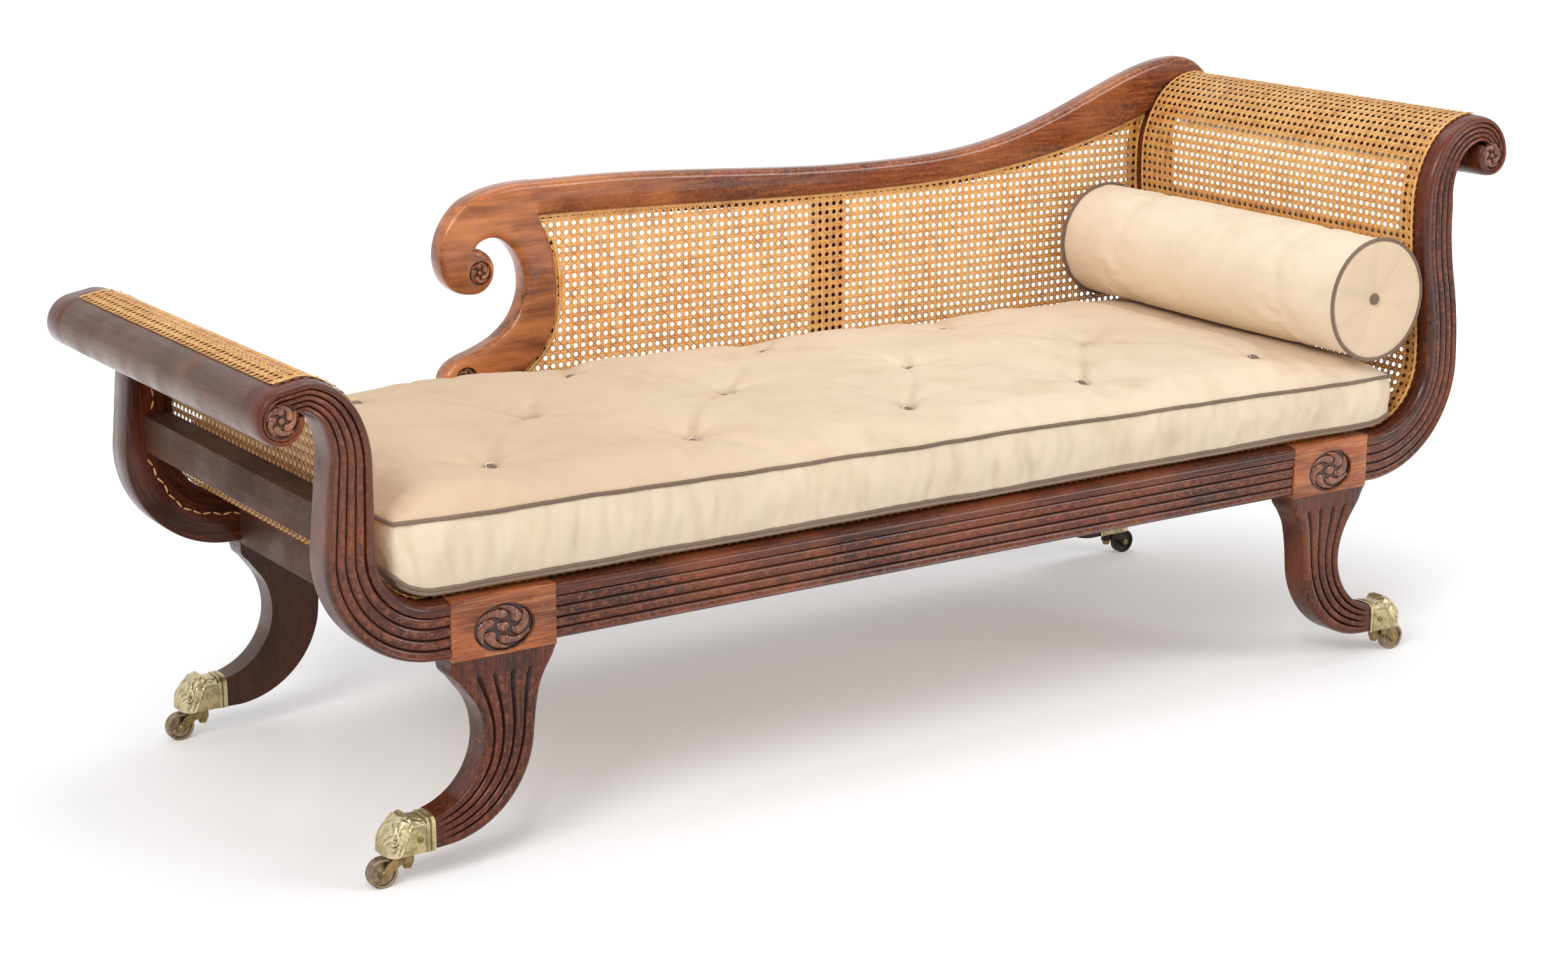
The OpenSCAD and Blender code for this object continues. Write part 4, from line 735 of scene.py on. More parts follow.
def leg(end, row, corner):
    outer, inner = leg_rings()
    profile = leg_profile(row < 0)
    share, depth, cavity, edge = profile.T
    lines = outer[:, None] + share[None, :, None] * (inner - outer)[:, None]
    calm = (np.clip(np.minimum(share, 1 - share) / 0.12, 0, 1) ** 0.7)[None, :, None]
    for _ in range(FLOW_PASSES):
        mid = (lines[:-2] + lines[2:]) / 2
        lines[1:-1] += 0.5 * calm * (mid - lines[1:-1])
    m = len(outer)
    run = np.arange(m)[:, None] / LEG_FINE
    t = LEG_T + (ANKLE_T - LEG_T) * np.linspace(0, 1, m)[:, None]
    # the flutes start below the knee and run out above the sabot
    k = np.clip((run - 1.5) / 0.5, 0, 1) ** 0.6 * np.clip(run[::-1] / 1.6, 0, 1)
    is_rim = (share < 0.08) | (share > 0.92)
    d = depth * np.where(is_rim, np.minimum(1, run / 0.7), k)
    lines = np.concatenate([outer[:, None]] * 2 + [lines] + [inner[:, None]] * 2, 1)
    y = SETBACK + np.concatenate([t, t - 1.5, d, t - 1.5, t], 1)
    rings = np.stack([MID_X + end * (SPAN / 2 + lines[..., 0]), row * (DEPTH / 2 - y), lines[..., 1]], -1)
    cavity, edge = (np.pad(v, ((0, 0), (2, 2))).ravel() for v in (cavity * k, edge * (0.4 + 0.6 * k)))
    name = f"leg_{corner}_sabre"
    finish_piece(new_object(name, skin(name, rings, {"cavity": cavity, "edge": edge}, angle=42)),
                 wood_z if row < 0 else wood_rear_shaded, f"leg_{corner}")


CORNERS = [(scroll["end"], row, f"{end}_{side}") for scroll, end in ENDS for row, side in ((-1, "front"), (1, "rear"))]
for corner in CORNERS:
    leg(*corner)

# ---- sabots ---------------------------------------------------------------------------------
# rows of [share of the length, width, top and underside] from the rim to the nose
SABOT = np.array([
    (0, 1, 1, 0), (0.07, 1, 1, 0), (0.09, 0.93, 0.95, 0), (0.115, 1, 1, 0), (0.165, 1, 1, 0), (0.185, 0.93, 0.94, 0),
    (0.42, 0.93, 0.94, 0), (0.5, 0.96, 1.1, 0), (0.62, 0.95, 1.04, 0), (0.74, 0.92, 0.86, 0), (0.86, 0.84, 0.66, 0),
    (0.94, 0.7, 0.5, 0.03), (1, 0.42, 0.3, 0.08)])
SIDE = np.array([(1, 0), (1, 0.22), (1, 0.44), (1, 0.66), (0.96, 0.86), (0.72, 0.97), (0.36, 1), (0, 1)])
SABOT_H = ANKLE_TOP - ANKLE_BOTTOM + 2.4


def resample(pts, count):
    """Evenly spaced points along a broken line."""
    pts = np.asarray(pts, float)
    run = run_along(pts)
    at = np.linspace(0, run[-1], count)
    return np.stack([np.interp(at, run, pts[:, k]) for k in range(pts.shape[1])], 1)


def bell(x, width):
    return np.exp(-(x / width) ** 2)


def wave(x, power):
    """Pointed waves from -1 to 1."""
    return np.abs(np.sin(x)) ** power * 2 - 1


def sabot(end, row, corner):
    """A cast sabot: ribbed rim, plain cheeks, and foliage over its top and nose."""
    half = resample(SIDE * [SABOT_W / 2, SABOT_H], 44) / [SABOT_W / 2, SABOT_H]
    px, pz = np.concatenate([half, half[-2::-1] * [-1, 1]]).T
    s = np.unique(np.concatenate([SABOT[:, 0], np.linspace(0.19, 0.42, 10), np.linspace(0.42, 1, 60)]))[:, None]
    w, h, low = (np.interp(s, SABOT[:, 0], SABOT[:, k]) for k in (1, 2, 3))
    x, z = w * px * SABOT_W / 2, low * SABOT_H + (h - low) * SABOT_H * pz
    # the cheek's leafy border runs from the top by the rim down to the nose's foot
    border = 0.8 - 0.84 * smooth((s - 0.4) / 0.36)
    cheek = np.clip((np.abs(px) - 0.6) / 0.25, 0, 1)
    leafy = np.clip((pz - border) / 0.05, 0, 1) * cheek + (1 - cheek) * (pz > 0.3) * (s > 0.2)
    lip = bell(pz - border - 0.03, 0.035) * cheek * (s > 0.16) * (s < 0.8)
    run = np.where(np.abs(px) > 0.95, 1 + (1 - pz) * 1.2, np.abs(px))
    mid = bell(px, 0.16)
    far = np.hypot((s - 0.82) * 1.55, (pz - 0.62) * 0.9)
    curl = wave(far * 26 + np.arctan2(pz - 0.62, (s - 0.82) * 1.7) * 0.5, 0.6)
    leaf = 0.75 * wave(run * 5.2 - s * 11 + 1.1 * np.sin(s * 21), 0.55) + 0.25 * wave(run * 15 + s * 34, 0.7)
    nose = np.clip((s - 0.84) / 0.07, 0, 1) * (pz < 0.75)
    relief = np.where(far < 0.16, curl, leaf) * (1 - nose) + nose * wave(px * 8.2 + 0.6, 0.6)
    relief = np.where(s < 0.2, 0, relief) * leafy * np.clip((1 - s) * 14, 0, 1) * (1 - 0.6 * mid)
    relief = relief + 0.8 * mid * leafy * (s < 0.84)
    push = 1.5 * relief + lip + 0.5 * leafy * (s > 0.2)
    x = x * np.where(np.abs(px) > 0.3, 1 + push / (SABOT_W / 2), 1)
    z = z + np.where(pz > 0.08, push * np.clip((pz - 0.2) / 0.6, 0, 1) * 0.9, 0)
    u = np.broadcast_to(SPAN / 2 + RIM_X + s * SABOT_L, x.shape)
    rings = np.stack([MID_X + end * u, row * (DEPTH / 2 - ANKLE_Y + x), ANKLE_BOTTOM + z], -1)
    groove = 0.7 * (((s > 0.075) & (s < 0.11)) | ((s > 0.17) & (s < 0.19)))
    bound = (np.abs(pz - border) < 0.05) * cheek * (s > 0.2) * (s < 0.78)
    cavity = np.clip(-relief * 1.3, 0, 1) * leafy + groove + 0.5 * bound
    rib = 0.5 * ((s < 0.07) | ((s > 0.115) & (s < 0.165)))
    edge = np.clip(relief, 0, 1) * leafy + 0.6 * lip + rib
    name = f"sabot_{corner}_cast"
    mesh = skin(name, rings, {"cavity": np.clip(cavity, 0, 1).ravel(), "edge": np.clip(edge, 0, 1).ravel()}, angle=50)
    finish_piece(new_object(name, mesh), brass, f"sabot_{corner}")


# painted shade: a near-black copy of the castor metal, for the castor that stands in shadow
shaded_metal = metal("castor_shaded", (58, 52, 46), (34, 30, 27), (96, 88, 78), 0.42, 0.7, 0.85, "castor_metal")
for end, row, corner in CORNERS:
    sabot(end, row, corner)
    # the head end's rear castor gets the painted-shade metal
    horn_metal, roller_metal = (shaded_metal, shaded_metal) if corner == "head_rear" else (worn_metal, wheel_metal)
    eased(f"horn_{corner}", 0.6, horn_metal, f"fork_{corner}")
    eased(f"axle_{corner}", 0.3, worn_metal, f"fork_{corner}")
    eased(f"wheel_{corner}", 0.7, roller_metal, f"roller_{corner}", 25, "wheel_brass")
eased("sabot_screws", 0.25, worn_metal)
eased("swivel_pins", 0.4, worn_metal)

# ---- back -----------------------------------------------------------------------------------
BACK_T = 32
BACK_Y = DEPTH / 2 - FRAME_T + (FRAME_T - BACK_T) * 0.7
BACK_RAIL_TOP = SEAT_Z + 70
CREST_LOW, CREST_PEAK, LEFT_RISE, CREST_H, NOSE_R, JOINT_X = 679, 798, 21, 39, 75, 264
CREST_FALL = CREST_PEAK - CREST_LOW
# where the crest meets the roll of the head scroll
ROLL_R, ROLL_SHARE = 135, 0.12
neck = HEAD["stations"][HEAD["first"][4] * FINE]
MEET_U = neck[0] + ROLL_SHARE * ROLL_R
MEET_Z = neck[1] + ROLL_R * math.sin(math.acos(1 - ROLL_SHARE)) + 10
LOW_X = 0.3 * (head_reach + 1)
NOSE_U = head_reach - NOSE_R * 1.15
CREST_END = NOSE_U + NOSE_R * 0.86


def crest_top(x):
    if x < LOW_X:
        return CREST_LOW + LEFT_RISE * smooth((LOW_X - x) / (LOW_X + JOINT_X) * 1.15)
    if x < NOSE_U:
        return CREST_LOW + CREST_FALL * smooth(((x - LOW_X) / (NOSE_U - LOW_X)) ** 1.6)
    return CREST_PEAK - NOSE_R + math.sqrt(NOSE_R ** 2 - (x - NOSE_U) ** 2)


def crest_under(x):
    if x < LOW_X:
        return CREST_LOW - CREST_H + LEFT_RISE * 0.6 * smooth((LOW_X - x) / (LOW_X + JOINT_X))
    if x < MEET_U:
        return CREST_LOW - CREST_H + (MEET_Z - CREST_LOW + CREST_H) * ((x - LOW_X) / (MEET_U - LOW_X)) ** 2.4
    return min(MEET_Z + ROLL_R * 0.22, MEET_Z + (x - MEET_U) * 0.8)


def crest_ring(x):
    top, under = crest_top(x), crest_under(x)
    r = min(10, (top - under) / 3)
    e = r * 0.45
    half = [(e, under), (e * 0.4, under + e * 0.3), (0, under + e), (0, top - r)]
    half += [(r * (1 - math.cos(a)), top - r + r * math.sin(a)) for a in np.linspace(0.3, math.pi / 2, 5)]
    return [(MID_X + x, BACK_Y + y, z) for y, z in half + [(BACK_T - y, z) for y, z in half[::-1]]]


crest_xs = np.concatenate([np.linspace(-JOINT_X, LOW_X, 40), np.linspace(LOW_X, MEET_U, 70)[1:],
                           np.linspace(MEET_U, CREST_END, 40)[1:]])
# edge values round the crest's section, highest on its rounded top: partly wear, partly a painted highlight of lighter
# flecks
shine = [0.2, 0.3, 0.3, 0.2, 0.5, 0.6, 0.5, 0.3, 0.2]
obj = new_object("crest_rail_shaped", skin("crest_rail_shaped", [crest_ring(x) for x in crest_xs],
                                           {"edge": np.tile(shine + shine[::-1], len(crest_xs))}, angle=35))
cut(obj, 35, prism("cutter", band_outline(HEAD, HEAD["first"][8] * FINE), INNER_Y - 2, INNER_Y + FRAME_T + 2),
    prism("cutter_roll", mirrored(HEAD, HEAD["stations"][(HEAD["cane_last"] - 2) * FINE:]), INNER_Y - 2.3,
          INNER_Y + FRAME_T + 2.3))
finish_piece(obj, wood_crest, "crest_rail")
SCROLL_OUT = [
    (-0.123, 0.997), (-0.225, 0.983), (-0.311, 0.959), (-0.389, 0.922), (-0.457, 0.853), (-0.498, 0.775),
    (-0.515, 0.693), (-0.505, 0.618), (-0.474, 0.556), (-0.427, 0.515), (-0.369, 0.497), (-0.307, 0.498),
    (-0.259, 0.526), (-0.232, 0.573), (-0.229, 0.625), (-0.253, 0.672), (-0.294, 0.703), (-0.324, 0.71),
    (-0.3, 0.734), (-0.253, 0.751), (-0.198, 0.744), (-0.147, 0.71), (-0.109, 0.662), (-0.085, 0.608),
    (-0.075, 0.543), (-0.078, 0.478), (-0.099, 0.413), (-0.133, 0.355), (-0.181, 0.307), (-0.242, 0.266),
    (-0.321, 0.232), (-0.396, 0.208), (-0.451, 0.184), (-0.491, 0.147), (-0.509, 0.102), (-0.502, 0.055),
    (-0.468, 0.014), (-0.42, 0)]
SCROLL_IN = [
    (-0.229, 0), (-0.147, 0.048), (-0.065, 0.113), (0.01, 0.177), (0.058, 0.249), (0.089, 0.334),
    (0.102, 0.427), (0.102, 0.522), (0.092, 0.618), (0.072, 0.7), (0.041, 0.778)]
EYES = [(-0.31, 0.598), (-0.395, 0.105)]
SCROLL_H = CREST_LOW + LEFT_RISE - BACK_RAIL_TOP


def scroll_point(s):
    return np.array([MID_X + s[0] * SCROLL_H - JOINT_X, BACK_RAIL_TOP + s[1] * SCROLL_H])


def back_scroll():
    outer = [np.array([MID_X - JOINT_X, crest_top(-JOINT_X)])] + [scroll_point(s) for s in SCROLL_OUT]
    inner = [scroll_point(s) for s in SCROLL_IN] + [np.array([MID_X - JOINT_X, crest_under(-JOINT_X)])]
    tip = 18
    outline = np.concatenate([spline(outer[:tip + 1], 5)[:-1], spline(outer[tip:], 5), spline(inner, 4)])
    obj = soft_slab("back_scroll_carved", outline, BACK_Y, BACK_Y + BACK_T, 9.5, 4, MID_X - JOINT_X)
    eyes = [scroll_point(s) for s in EYES]
    cut(obj, 35, *[prism("cutter", oval(x, z, 17, 17, 56), BACK_Y - 3, BACK_Y + CARVE) for x, z in eyes])
    finish_piece(obj, wood_crest, "back_scroll")
    for k, (x, z) in enumerate(eyes):
        rosette(f"back_rosette_{k}", [] if k else ["back_rosettes"], x, z, 16.6, 16.6, BACK_Y, 5, fat=1.2)


back_scroll()

# ---- cane -----------------------------------------------------------------------------------
PITCH_MM, PAIR, WIDE = 12.2, 1.65, 2.75
HALF = CANE_T / 2
y_front, y_back = CANE_FRONT - DEPTH / 2, DEPTH / 2 - CANE_REAR
seat_x0, seat_x1 = MID_X - POST_U - FOOT_START, MID_X + POST_U + HEAD_START
CANE_BACK_Y = BACK_Y + 8 + HALF


def inside_runs(p, d, poly):
    """Where the line p + t d runs inside a closed outline: a list of (t0, t1)."""
    a, b = poly, np.roll(poly, -1, axis=0)
    e = b - a
    den = d[0] * e[:, 1] - d[1] * e[:, 0]
    ok = np.abs(den) > 1e-9
    w = a[ok] - p
    t = (w[:, 0] * e[ok][:, 1] - w[:, 1] * e[ok][:, 0]) / den[ok]
    s = (w[:, 0] * d[1] - w[:, 1] * d[0]) / den[ok]
    hits = np.sort(t[(s >= 0) & (s < 1)])
    return [(t0, t1) for t0, t1 in zip(hits[::2], hits[1::2]) if t1 - t0 > 1.5]


def strands(poly, bare_top):
    """Every strand of a six-way weave, in an outline measured in holes: points, width direction, tone.
    Pairs that would lie on an edge are left out, so zig-zags border the panel as on hand-woven cane."""
    lo, hi = poly.min(0), poly.max(0)
    out, pair = [], PAIR / PITCH_MM
    columns, rows = (range(int(math.floor(a)), int(math.ceil(b)) + 1) for a, b in zip(lo, hi))
    lowered = poly.copy()
    if bare_top:
        lowered[:, 1] = np.minimum(lowered[:, 1], np.maximum(lowered[:, 1] - 0.62, lo[1]))

    def add(p, d, rise, tone, edge):
        p, d = np.array(p, float), np.array(d, float)
        step = 0.5 / d.max()
        for t0, t1 in inside_runs(p, d, edge):
            k = np.arange(math.ceil(t0 / step + 0.05), math.floor(t1 / step - 0.05) + 1) * step
            t = np.concatenate([[t0], k, [t1]])[:, None]
            out.append((np.concatenate([p + d * t, rise * np.cos(np.pi * t / step)], 1), np.array([-d[1], d[0]]), tone))
    for k in columns:
        for side in (-1, 1):
            if lo[0] + 0.5 < k + side * pair < hi[0] - 0.5:
                add((k + side * pair, 0), (0, 1), 0.28 * side, (k * 7 + side) % 5 / 5, poly)
    for m in rows:
        for side in (-1, 1):
            if lo[1] + 0.5 < m + side * pair < hi[1] - (0 if bare_top else 0.5):
                add((0, m + side * pair), (1, 0), -0.28 * side, (m * 5 + side * 2) % 7 / 7, lowered)
    root = math.sqrt(0.5)
    reach = len(columns) + len(rows) + 2
    for j in range(-reach, reach):
        add((0, -j - 0.5), (root, root), 0.72, (j * 3) % 4 / 4, poly)
        add((0, j + 0.5 + round(lo[0] + lo[1])), (root, -root), -0.72, (j * 3 + 1) % 4 / 4, poly)
    return out


def cane_panel(node, poly, place, split=0, bare_top=False):
    """Weaves a panel as two pieces, on either side of split: place turns (a, b, height) into millimetres."""
    poly = np.asarray(poly, float)
    lo, size = poly.min(0), np.ptp(poly, 0)
    pitch = size / np.maximum(1, np.round(size / PITCH_MM))
    halves = [], []
    for pts, across, tone in strands((poly - lo) / pitch, bare_top):
        pts = pts * [*pitch, 1] + [*lo, 0]
        halves[int(pts[:, 0].mean() > split)].append((pts, across * WIDE / 2, tone))
    for key, half in enumerate(halves):
        verts, quads, tones, base = [], [], [], 0
        for pts, side, tone in half:
            rows = [place(*(pts + [*(off * side), rise]).T) for off, rise in ((-1, -0.12), (0, 0.38), (1, -0.12))]
            verts.append(np.stack(rows, 1).reshape(-1, 3))
            quads.append(quads_of(len(pts), 3, False) + base)
            tones.append(np.full(len(pts) * 3, tone))
            base += len(pts) * 3
        name = f"{node}_woven_{key}"
        mesh = grid_mesh(name, np.concatenate(verts), np.concatenate(quads), 62, tone=np.concatenate(tones))
        finish_piece(new_object(name, mesh), cane_mat, *[] if key else [node])


def end_place(scroll):
    """Turns a place on an end's cane (towards the back, up the curve, out of it) into a point, in millimetres."""
    st = scroll["stations"][scroll["first"][1] * FINE:scroll["cane_last"] * FINE + 1]
    run = run_along(shifted(st, HALF))

    def place(a, b, h):
        u, z, heading = (np.interp(b, run, st[:, k]) for k in range(3))
        turn, lift = np.radians(heading), HALF + h
        return np.stack([MID_X + scroll["end"] * (u - np.sin(turn) * lift), a + 0 * u, z + np.cos(turn) * lift], 1)
    return place, run[-1]


for scroll, end in ENDS:
    scroll["cane_place"], scroll["cane_run"] = end_place(scroll)
    cane_panel(f"cane_{end}_end", box(y_front, y_back, 0, scroll["cane_run"]), scroll["cane_place"])
cane_panel("cane_seat", box(seat_x0, seat_x1, y_front, y_back),
           lambda a, b, h: np.stack([a, b, SEAT_Z + HALF + h], 1))


def back_outline():
    top = [(MID_X + x, crest_under(x)) for x in np.linspace(-JOINT_X, MEET_U, 60)]
    st = HEAD["stations"][HEAD["first"][1] * FINE:HEAD["first"][6] * FINE]
    side = [(MID_X + u, z) for u, z in st[::-1, :2] if BACK_RAIL_TOP < z < MEET_Z - 1]
    return np.array(top + side + [(side[-1][0], BACK_RAIL_TOP)] + [tuple(scroll_point(s)) for s in SCROLL_IN])


cane_panel("cane_back", back_outline(), lambda a, b, h: np.stack([a, CANE_BACK_Y - h, b], 1), split=280, bare_top=True)


def strip(name, p, out, side, wide):
    """A flat binding strand along points, each with its direction outward and sideways."""
    p, out, side = np.broadcast_arrays(p, out, side)
    rings = [p - side * wide / 2, p - side * wide / 4 + out * 0.7, p + side * wide / 4 + out * 0.7, p + side * wide / 2]
    mesh = skin(name, np.stack(rings, 1), {"tone": np.full(len(p) * 4, 0.75)}, angle=50)
    finish_piece(new_object(name, mesh), cane_mat)


def rebate(name, rings):
    """Dark wood of the frame, that shows through the border of the cane."""
    finish_piece(new_object(name, skin(name, rings)), wood_dark)


def beads(name, centres, along, out, size):
    """Short humped stitches, each with its centre and its direction along and outward."""
    centres, along, out = np.broadcast_arrays(centres, along, out)
    along, out = (v / np.linalg.norm(v, axis=1, keepdims=True) for v in (along, out))
    side = np.cross(along, out)
    rings = []
    for f, h, w in ((-1, 0, 0.55), (-0.6, 0.8, 0.9), (0, 1, 1), (0.6, 0.8, 0.9), (1, 0, 0.55)):
        p, half, top = centres + along * f * size[0] / 2, side * w * size[1] / 2, out * h * size[2]
        rings.append(np.stack([p - half, p - half / 2 + top, p + half / 2 + top, p + half], 1))
    one = quads_of(5, 4).tolist() + [[3, 2, 1, 0], [16, 17, 18, 19]]
    faces = [[20 * k + i for i in face] for k in range(len(centres)) for face in one]
    verts = np.stack(rings, 1).reshape(-1, 3)
    mesh = mesh_of(name, verts, faces, {"tone": np.full(len(verts), 0.85)}, angle=60)
    finish_piece(new_object(name, mesh), cane_mat)


def along_x(xs, y, z):
    return np.stack(np.broadcast_arrays(xs, y, z), 1)


BINDING_IN, BINDING_W, BED_W = 2.4, 4.6, 11
BED = np.array([(0, -1.7), (BED_W, -1.7), (BED_W, -6), (0, -6)])
UP, BACKWARD, FORWARD = (0, 0, 1), (0, 1, 0), (0, -1, 0)
for scroll, end in ENDS:
    place, run = scroll["cane_place"], np.linspace(0, scroll["cane_run"], 90)
    for a, side in ((y_front + BINDING_IN, "front"), (y_back - BINDING_IN, "rear")):
        p = place(a, run, 1.15)
        strip(f"cane_binding_{end}_{side}", p, place(a, run, 2.15) - p, BACKWARD, BINDING_W)
for scroll, end in ENDS:
    for a, side in ((y_front, "front"), (y_back - BED_W, "rear")):
        rebate(f"cane_rebate_{end}_{side}", [scroll["cane_place"](a + BED[:, 0], np.full(4, b), BED[:, 1])
                                             for b in np.linspace(2, scroll["cane_run"] - 2, 90)])
rebate("cane_rebate_seat", [[(x, y_front + a, SEAT_Z + HALF + h) for a, h in BED]
                            for x in np.linspace(seat_x0, seat_x1, 30)])
for scroll, end in ENDS:
    place, run = scroll["cane_place"], np.arange(6, scroll["cane_run"] - 4, PITCH_MM)
    p, q = (np.concatenate([place(a, run, h) for a in (y_front + BINDING_IN, y_back - BINDING_IN)]) for h in (1.6, 2.6))
    beads(f"cane_stitches_{end}", p, BACKWARD, q - p, (6.4, 1.9, 1.1))
xs = np.linspace(seat_x0 + 4, seat_x1 - 4, 60)
strip("cane_binding_seat", along_x(xs, y_front + BINDING_IN, SEAT_Z + CANE_T - 0.1), UP, BACKWARD, BINDING_W)
xs = np.arange(seat_x0 + 8, seat_x1 - 8, PITCH_MM)
beads("cane_stitches_seat", along_x(xs, y_front + 1.2, SEAT_Z + CANE_T + 0.2), BACKWARD, UP, (6.8, 1.9, 1.2))


def back_binding():
    """A binding strand and its stitches along the crest, the back scroll and the head scroll."""
    ring = resample(back_outline()[:-1], 420)
    keep = ring[:, 1] > BACK_RAIL_TOP + 6
    ring = ring[np.argmax(~keep) - len(ring):] if not keep[0] else ring
    d = np.gradient(ring, axis=0)
    d /= np.linalg.norm(d, axis=1, keepdims=True)
    inward = np.stack([d[:, 1], -d[:, 0]], 1)
    if ((ring.mean(0) - ring) * inward).sum() < 0:
        inward = -inward
    rebate("cane_rebate_back", np.stack([np.insert(ring + a * inward, 1, CANE_BACK_Y - h, 1) for a, h in BED], 1))
    ring = ring + inward * (2.7 + 4.2 * np.maximum(0, inward[:, 0:1]))
    y = CANE_BACK_Y - 1.1
    inward = np.insert(inward, 1, 0, 1)
    strip("cane_binding_back", np.insert(ring, 1, y, 1), FORWARD, inward, 4.2)
    run = run_along(ring)
    k = np.searchsorted(run, np.arange(6, run[-1], PITCH_MM))
    beads("cane_stitches_back", np.insert(ring[k], 1, y - 0.4, 1), inward[k], FORWARD, (6.2, 1.9, 1.0))


back_binding()

# Where the foot end's cane is laced through the rear scroll, its loops show on the plain inner face
centres, ways = [], []
for path in (((-844.4, 488), (-846.4, 455)),
             ((-855.4, 395), (-846, 372), (-820.4, 330), (-799.4, 315), (-775, 309), (-730, 303))):
    line = resample(path, max(3, int(run_along(path)[-1] / 12.5)))
    d = np.diff(line, axis=0)
    tilt = 0.25 * (-1.0) ** np.arange(len(d))[:, None]
    centres.append((line[:-1] + line[1:]) / 2)
    ways.append(d + tilt * [-1, 1] * d[:, ::-1])
centres, ways = (np.insert(np.concatenate(v), 1, y, 1) for v, y in ((centres, INNER_Y - 0.3), (ways, 0)))
beads("cane_loops_rear", centres, ways, FORWARD, (11.5, 2.6, 2.0))

# ---- noise ----------------------------------------------------------------------------------
def value_noise(x, y, seed):
    """Smooth noise, about -1 to 1, on arrays."""
    x, y = np.broadcast_arrays(np.asarray(x, float), np.asarray(y, float))
    z = seed * 7.31 + 0.5
    out = np.fromiter((noise.noise((a, b, z)) for a, b in zip(x.ravel().tolist(), y.ravel().tolist())), float, x.size)
    return (out * 1.6).reshape(x.shape)


# ---- upholstery -----------------------------------------------------------------------------
box_lo, box_hi = (np.array(v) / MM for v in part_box("seat_cushion"))
bol_lo, bol_hi = (np.array(v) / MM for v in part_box("bolster"))
BOL_X, BOL_Z, BOL_R = (bol_lo[0] + bol_hi[0]) / 2, (bol_lo[2] + bol_hi[2]) / 2, (bol_hi[0] - bol_lo[0]) / 2
C_X0, C_X1, C_Y0, C_Y1 = box_lo[0], box_hi[0], box_lo[1], box_hi[1]
C_L, C_D = C_X1 - C_X0, C_Y1 - C_Y0
C_MX, C_MY = (C_X0 + C_X1) / 2, (C_Y0 + C_Y1) / 2
FLOAT, CREASE_REACH, NO_LIMIT = 0.3, 270, 1e6
SEAT_TOP, CUSHION_H, SLOPE, CROWN, PIPE_R, THIN_PIPE = SEAT_Z + CANE_T + FLOAT, 84, 20, 34, 3.5, 2.7
TUFTS = np.array([(x, -0.6) for x in (-0.76, -0.4, 0.02, 0.39, 0.79)]
                 + [(x, 0.06) for x in (-0.56, -0.18, 0.21, 0.61)]
                 + [(x, 0.7) for x in (-0.75, -0.34, 0.06, 0.46)]) * [C_L / 2, C_D / 2] + [C_MX, C_MY]


def bend_floor(u, start, r):
    """Height of the cane, with a little air, as it bends up from the seat."""
    inner = np.sqrt(np.maximum(1, (r - CANE_T - FLOAT) ** 2 - np.maximum(0, u - start) ** 2))
    return np.where(u < start, SEAT_TOP, SEAT_Z + r - inner)


def cushion_floor(x):
    x = np.asarray(x, float) - MID_X
    return np.where(x < 0, bend_floor(PIPE_R - x, POST_U + FOOT_START, FOOT_BEND),
                    bend_floor(x + PIPE_R, POST_U + HEAD_START, HEAD_BEND))


def edge_z(x):
    return SEAT_TOP + CUSHION_H - SLOPE * (np.asarray(x, float) - C_MX) / C_L


def upper_wave(x, y):
    return 1.6 * value_noise(x / 130, y / 130, 3) + 0.8 * value_noise(x / 47, y / 47, 4)


def lower_wave(x, y):
    return 1.5 * value_noise(x / 170, y / 170, 7) + 0.5 * value_noise(x / 60, y / 60, 8)


def from_rim(x, y, edge):
    """0 at the cushion's rim, 1 well inside it."""
    return np.prod([1 - np.exp(-np.maximum(0, d) / edge) for d in (np.minimum(x - C_X0, C_X1 - x),
                                                                   np.minimum(y - C_Y0, C_Y1 - y))], axis=0)


def from_tuft(x, y):
    return np.hypot(x[..., None] - TUFTS[:, 0], y[..., None] - TUFTS[:, 1]).min(-1)


def cushion_crown(x, y, share):
    """Height of the cushion's top over its upper piping."""
    d = from_tuft(x, y)
    return from_rim(x, y, 25) * (CROWN * share - 9.0 * np.exp(-(d / 62) ** 2) - 1.5 * np.exp(-(d / 16) ** 2))


def under_bolster(x):
    """How high the cushion may come under the bolster."""
    r = BOL_R + 1.6
    dx = np.minimum(np.abs(x - BOL_X), r - 0.01)
    return np.where(np.abs(x - BOL_X) < r, BOL_Z - np.sqrt(r * r - dx * dx), NO_LIMIT)


def crease(x, y, p, q, depth, wide):
    """One crease between two tufts, deepest near both."""
    length = np.hypot(*(q - p))
    if length > CREASE_REACH:
        return 0
    d = (q - p) / length
    t = ((x - p[0]) * d[0] + (y - p[1]) * d[1]) / length
    off = (x - p[0]) * -d[1] + (y - p[1]) * d[0] + 7 * np.sin(t * 4 + p[0])
    fade = np.where((t > -0.04) & (t < 1.04), 0.25 + 0.75 * np.abs(2 * np.clip(t, 0, 1) - 1) ** 1.5, 0)
    return depth * fade * np.exp(-(off / wide) ** 2)


